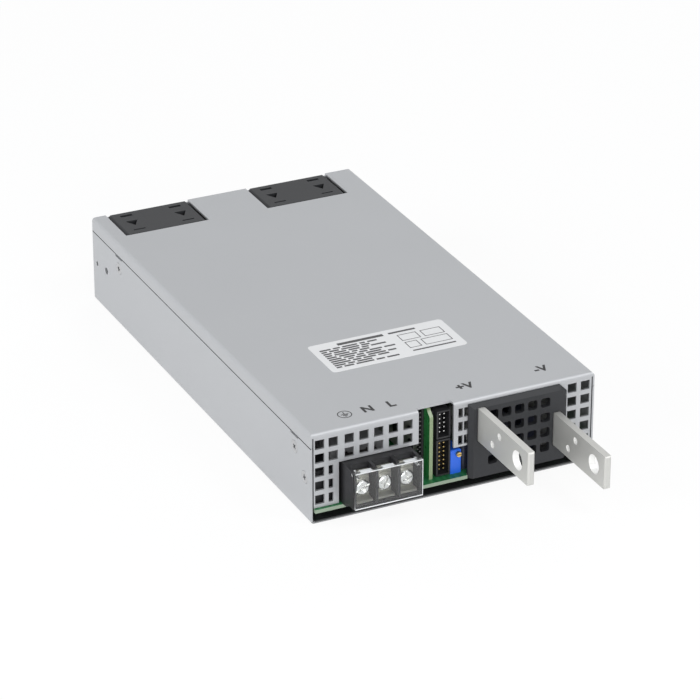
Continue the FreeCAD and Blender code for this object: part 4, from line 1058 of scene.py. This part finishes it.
def show_mix(tree, share, first, second, output):
    """Sends a mix of two shaders to a new output node."""
    choose = tree.nodes.new("ShaderNodeMixShader")
    tree.links.new(share, choose.inputs[0])
    tree.links.new(first.outputs[0], choose.inputs[1])
    tree.links.new(second.outputs[0], choose.inputs[2])
    tree.links.new(choose.outputs[0], tree.nodes.new(output).inputs["Surface"])


def set_world():
    """White surroundings to the eye, softer as light."""
    world = bpy.data.worlds.new("studio")
    bpy.context.scene.world = world
    world.use_nodes = True
    tree = world.node_tree
    tree.nodes.clear()
    light = add_node(tree, "ShaderNodeBackground", Color=rgb(0.95, 0.97, 1.0), Strength=0.46)
    white = add_node(tree, "ShaderNodeBackground", Color=rgb(1, 1, 1), Strength=1.0)
    show_mix(tree, seen_plainly(tree), light, white, "ShaderNodeOutputWorld")


def lay_floor():
    """Pale floor that keeps a faint shadow under the supply."""
    span, drop, glow_share = 12, 0.2 * MM, 0.9
    bpy.ops.object.select_all(action="DESELECT")
    bpy.ops.mesh.primitive_plane_add(size=span, location=(0, 0, solid_low.z - drop))
    floor = bpy.context.object
    floor.name = "studio_floor"
    material = bpy.data.materials.new("studio_floor")
    material.use_nodes = True
    tree = material.node_tree
    tree.nodes.clear()
    paper = add_node(tree, "ShaderNodeBsdfDiffuse", Color=rgb(0.9, 0.9, 0.9))
    glow = add_node(tree, "ShaderNodeEmission", Color=rgb(1, 1, 1), Strength=1.0)
    share = calculate(tree, "MULTIPLY", seen_plainly(tree), glow_share)
    show_mix(tree, share, paper, glow, "ShaderNodeOutputMaterial")
    floor.data.materials.append(material)


def set_camera():
    """Camera at the photograph's place, with its long lens."""
    look = Vector((0.3869, 0.8072, -0.4458))
    data = bpy.data.cameras.new("photo_camera")
    data.sensor_width = 36
    data.lens = 179.69
    data.clip_start, data.clip_end = 0.05, 50
    camera = bpy.data.objects.new("photo_camera", data)
    bpy.context.collection.objects.link(camera)
    camera.location = (-0.58887, -1.24690, 0.69916)
    camera.rotation_euler = look.to_track_quat("-Z", "Y").to_euler()
    bpy.context.scene.camera = camera


def area_lamp(name, place, size, power, in_gloss=False):
    """Soft square lamp aimed at the supply, and seen in gloss or not."""
    target = Vector((0, -0.05, 0.02))
    data = bpy.data.lights.new(name, "AREA")
    data.shape = "SQUARE"
    data.size = size
    data.energy = power
    lamp = bpy.data.objects.new(name, data)
    bpy.context.collection.objects.link(lamp)
    lamp.location = place
    lamp.visible_glossy = in_gloss
    lamp.rotation_euler = (target - Vector(place)).to_track_quat("-Z", "Y").to_euler()


def light_studio():
    """Large lamps in front and at the left, a weaker one behind and one that catches the folds."""
    area_lamp("front_lamp", (-0.4, -1.7, 0.5), size=1.2, power=26)
    area_lamp("left_lamp", (-1.6, -0.1, 0.55), size=1.2, power=23)
    area_lamp("rear_lamp", (1.3, 1.4, 0.6), size=1.4, power=15)
    area_lamp("fold_lamp", (0.43, -0.61, 0.93), size=0.35, power=2.6, in_gloss=True)


paint_nodes()
fit_cover_screws()
fit_fan_screws()
fit_terminal_screws()
mould_insulator()
line_bar_holes()
fit_shade_pad()
fit_rotors()
print_marks()
print_label()
fit_pin_carrier()
fit_pin_tails()
fit_chips()
fit_shield()
fit_floor_edge_shade()
fit_sense_capacitor()
fit_cover_rim_highlight()
set_camera()
set_world()
lay_floor()
light_studio()
bpy.context.scene.view_settings.view_transform = "Standard"
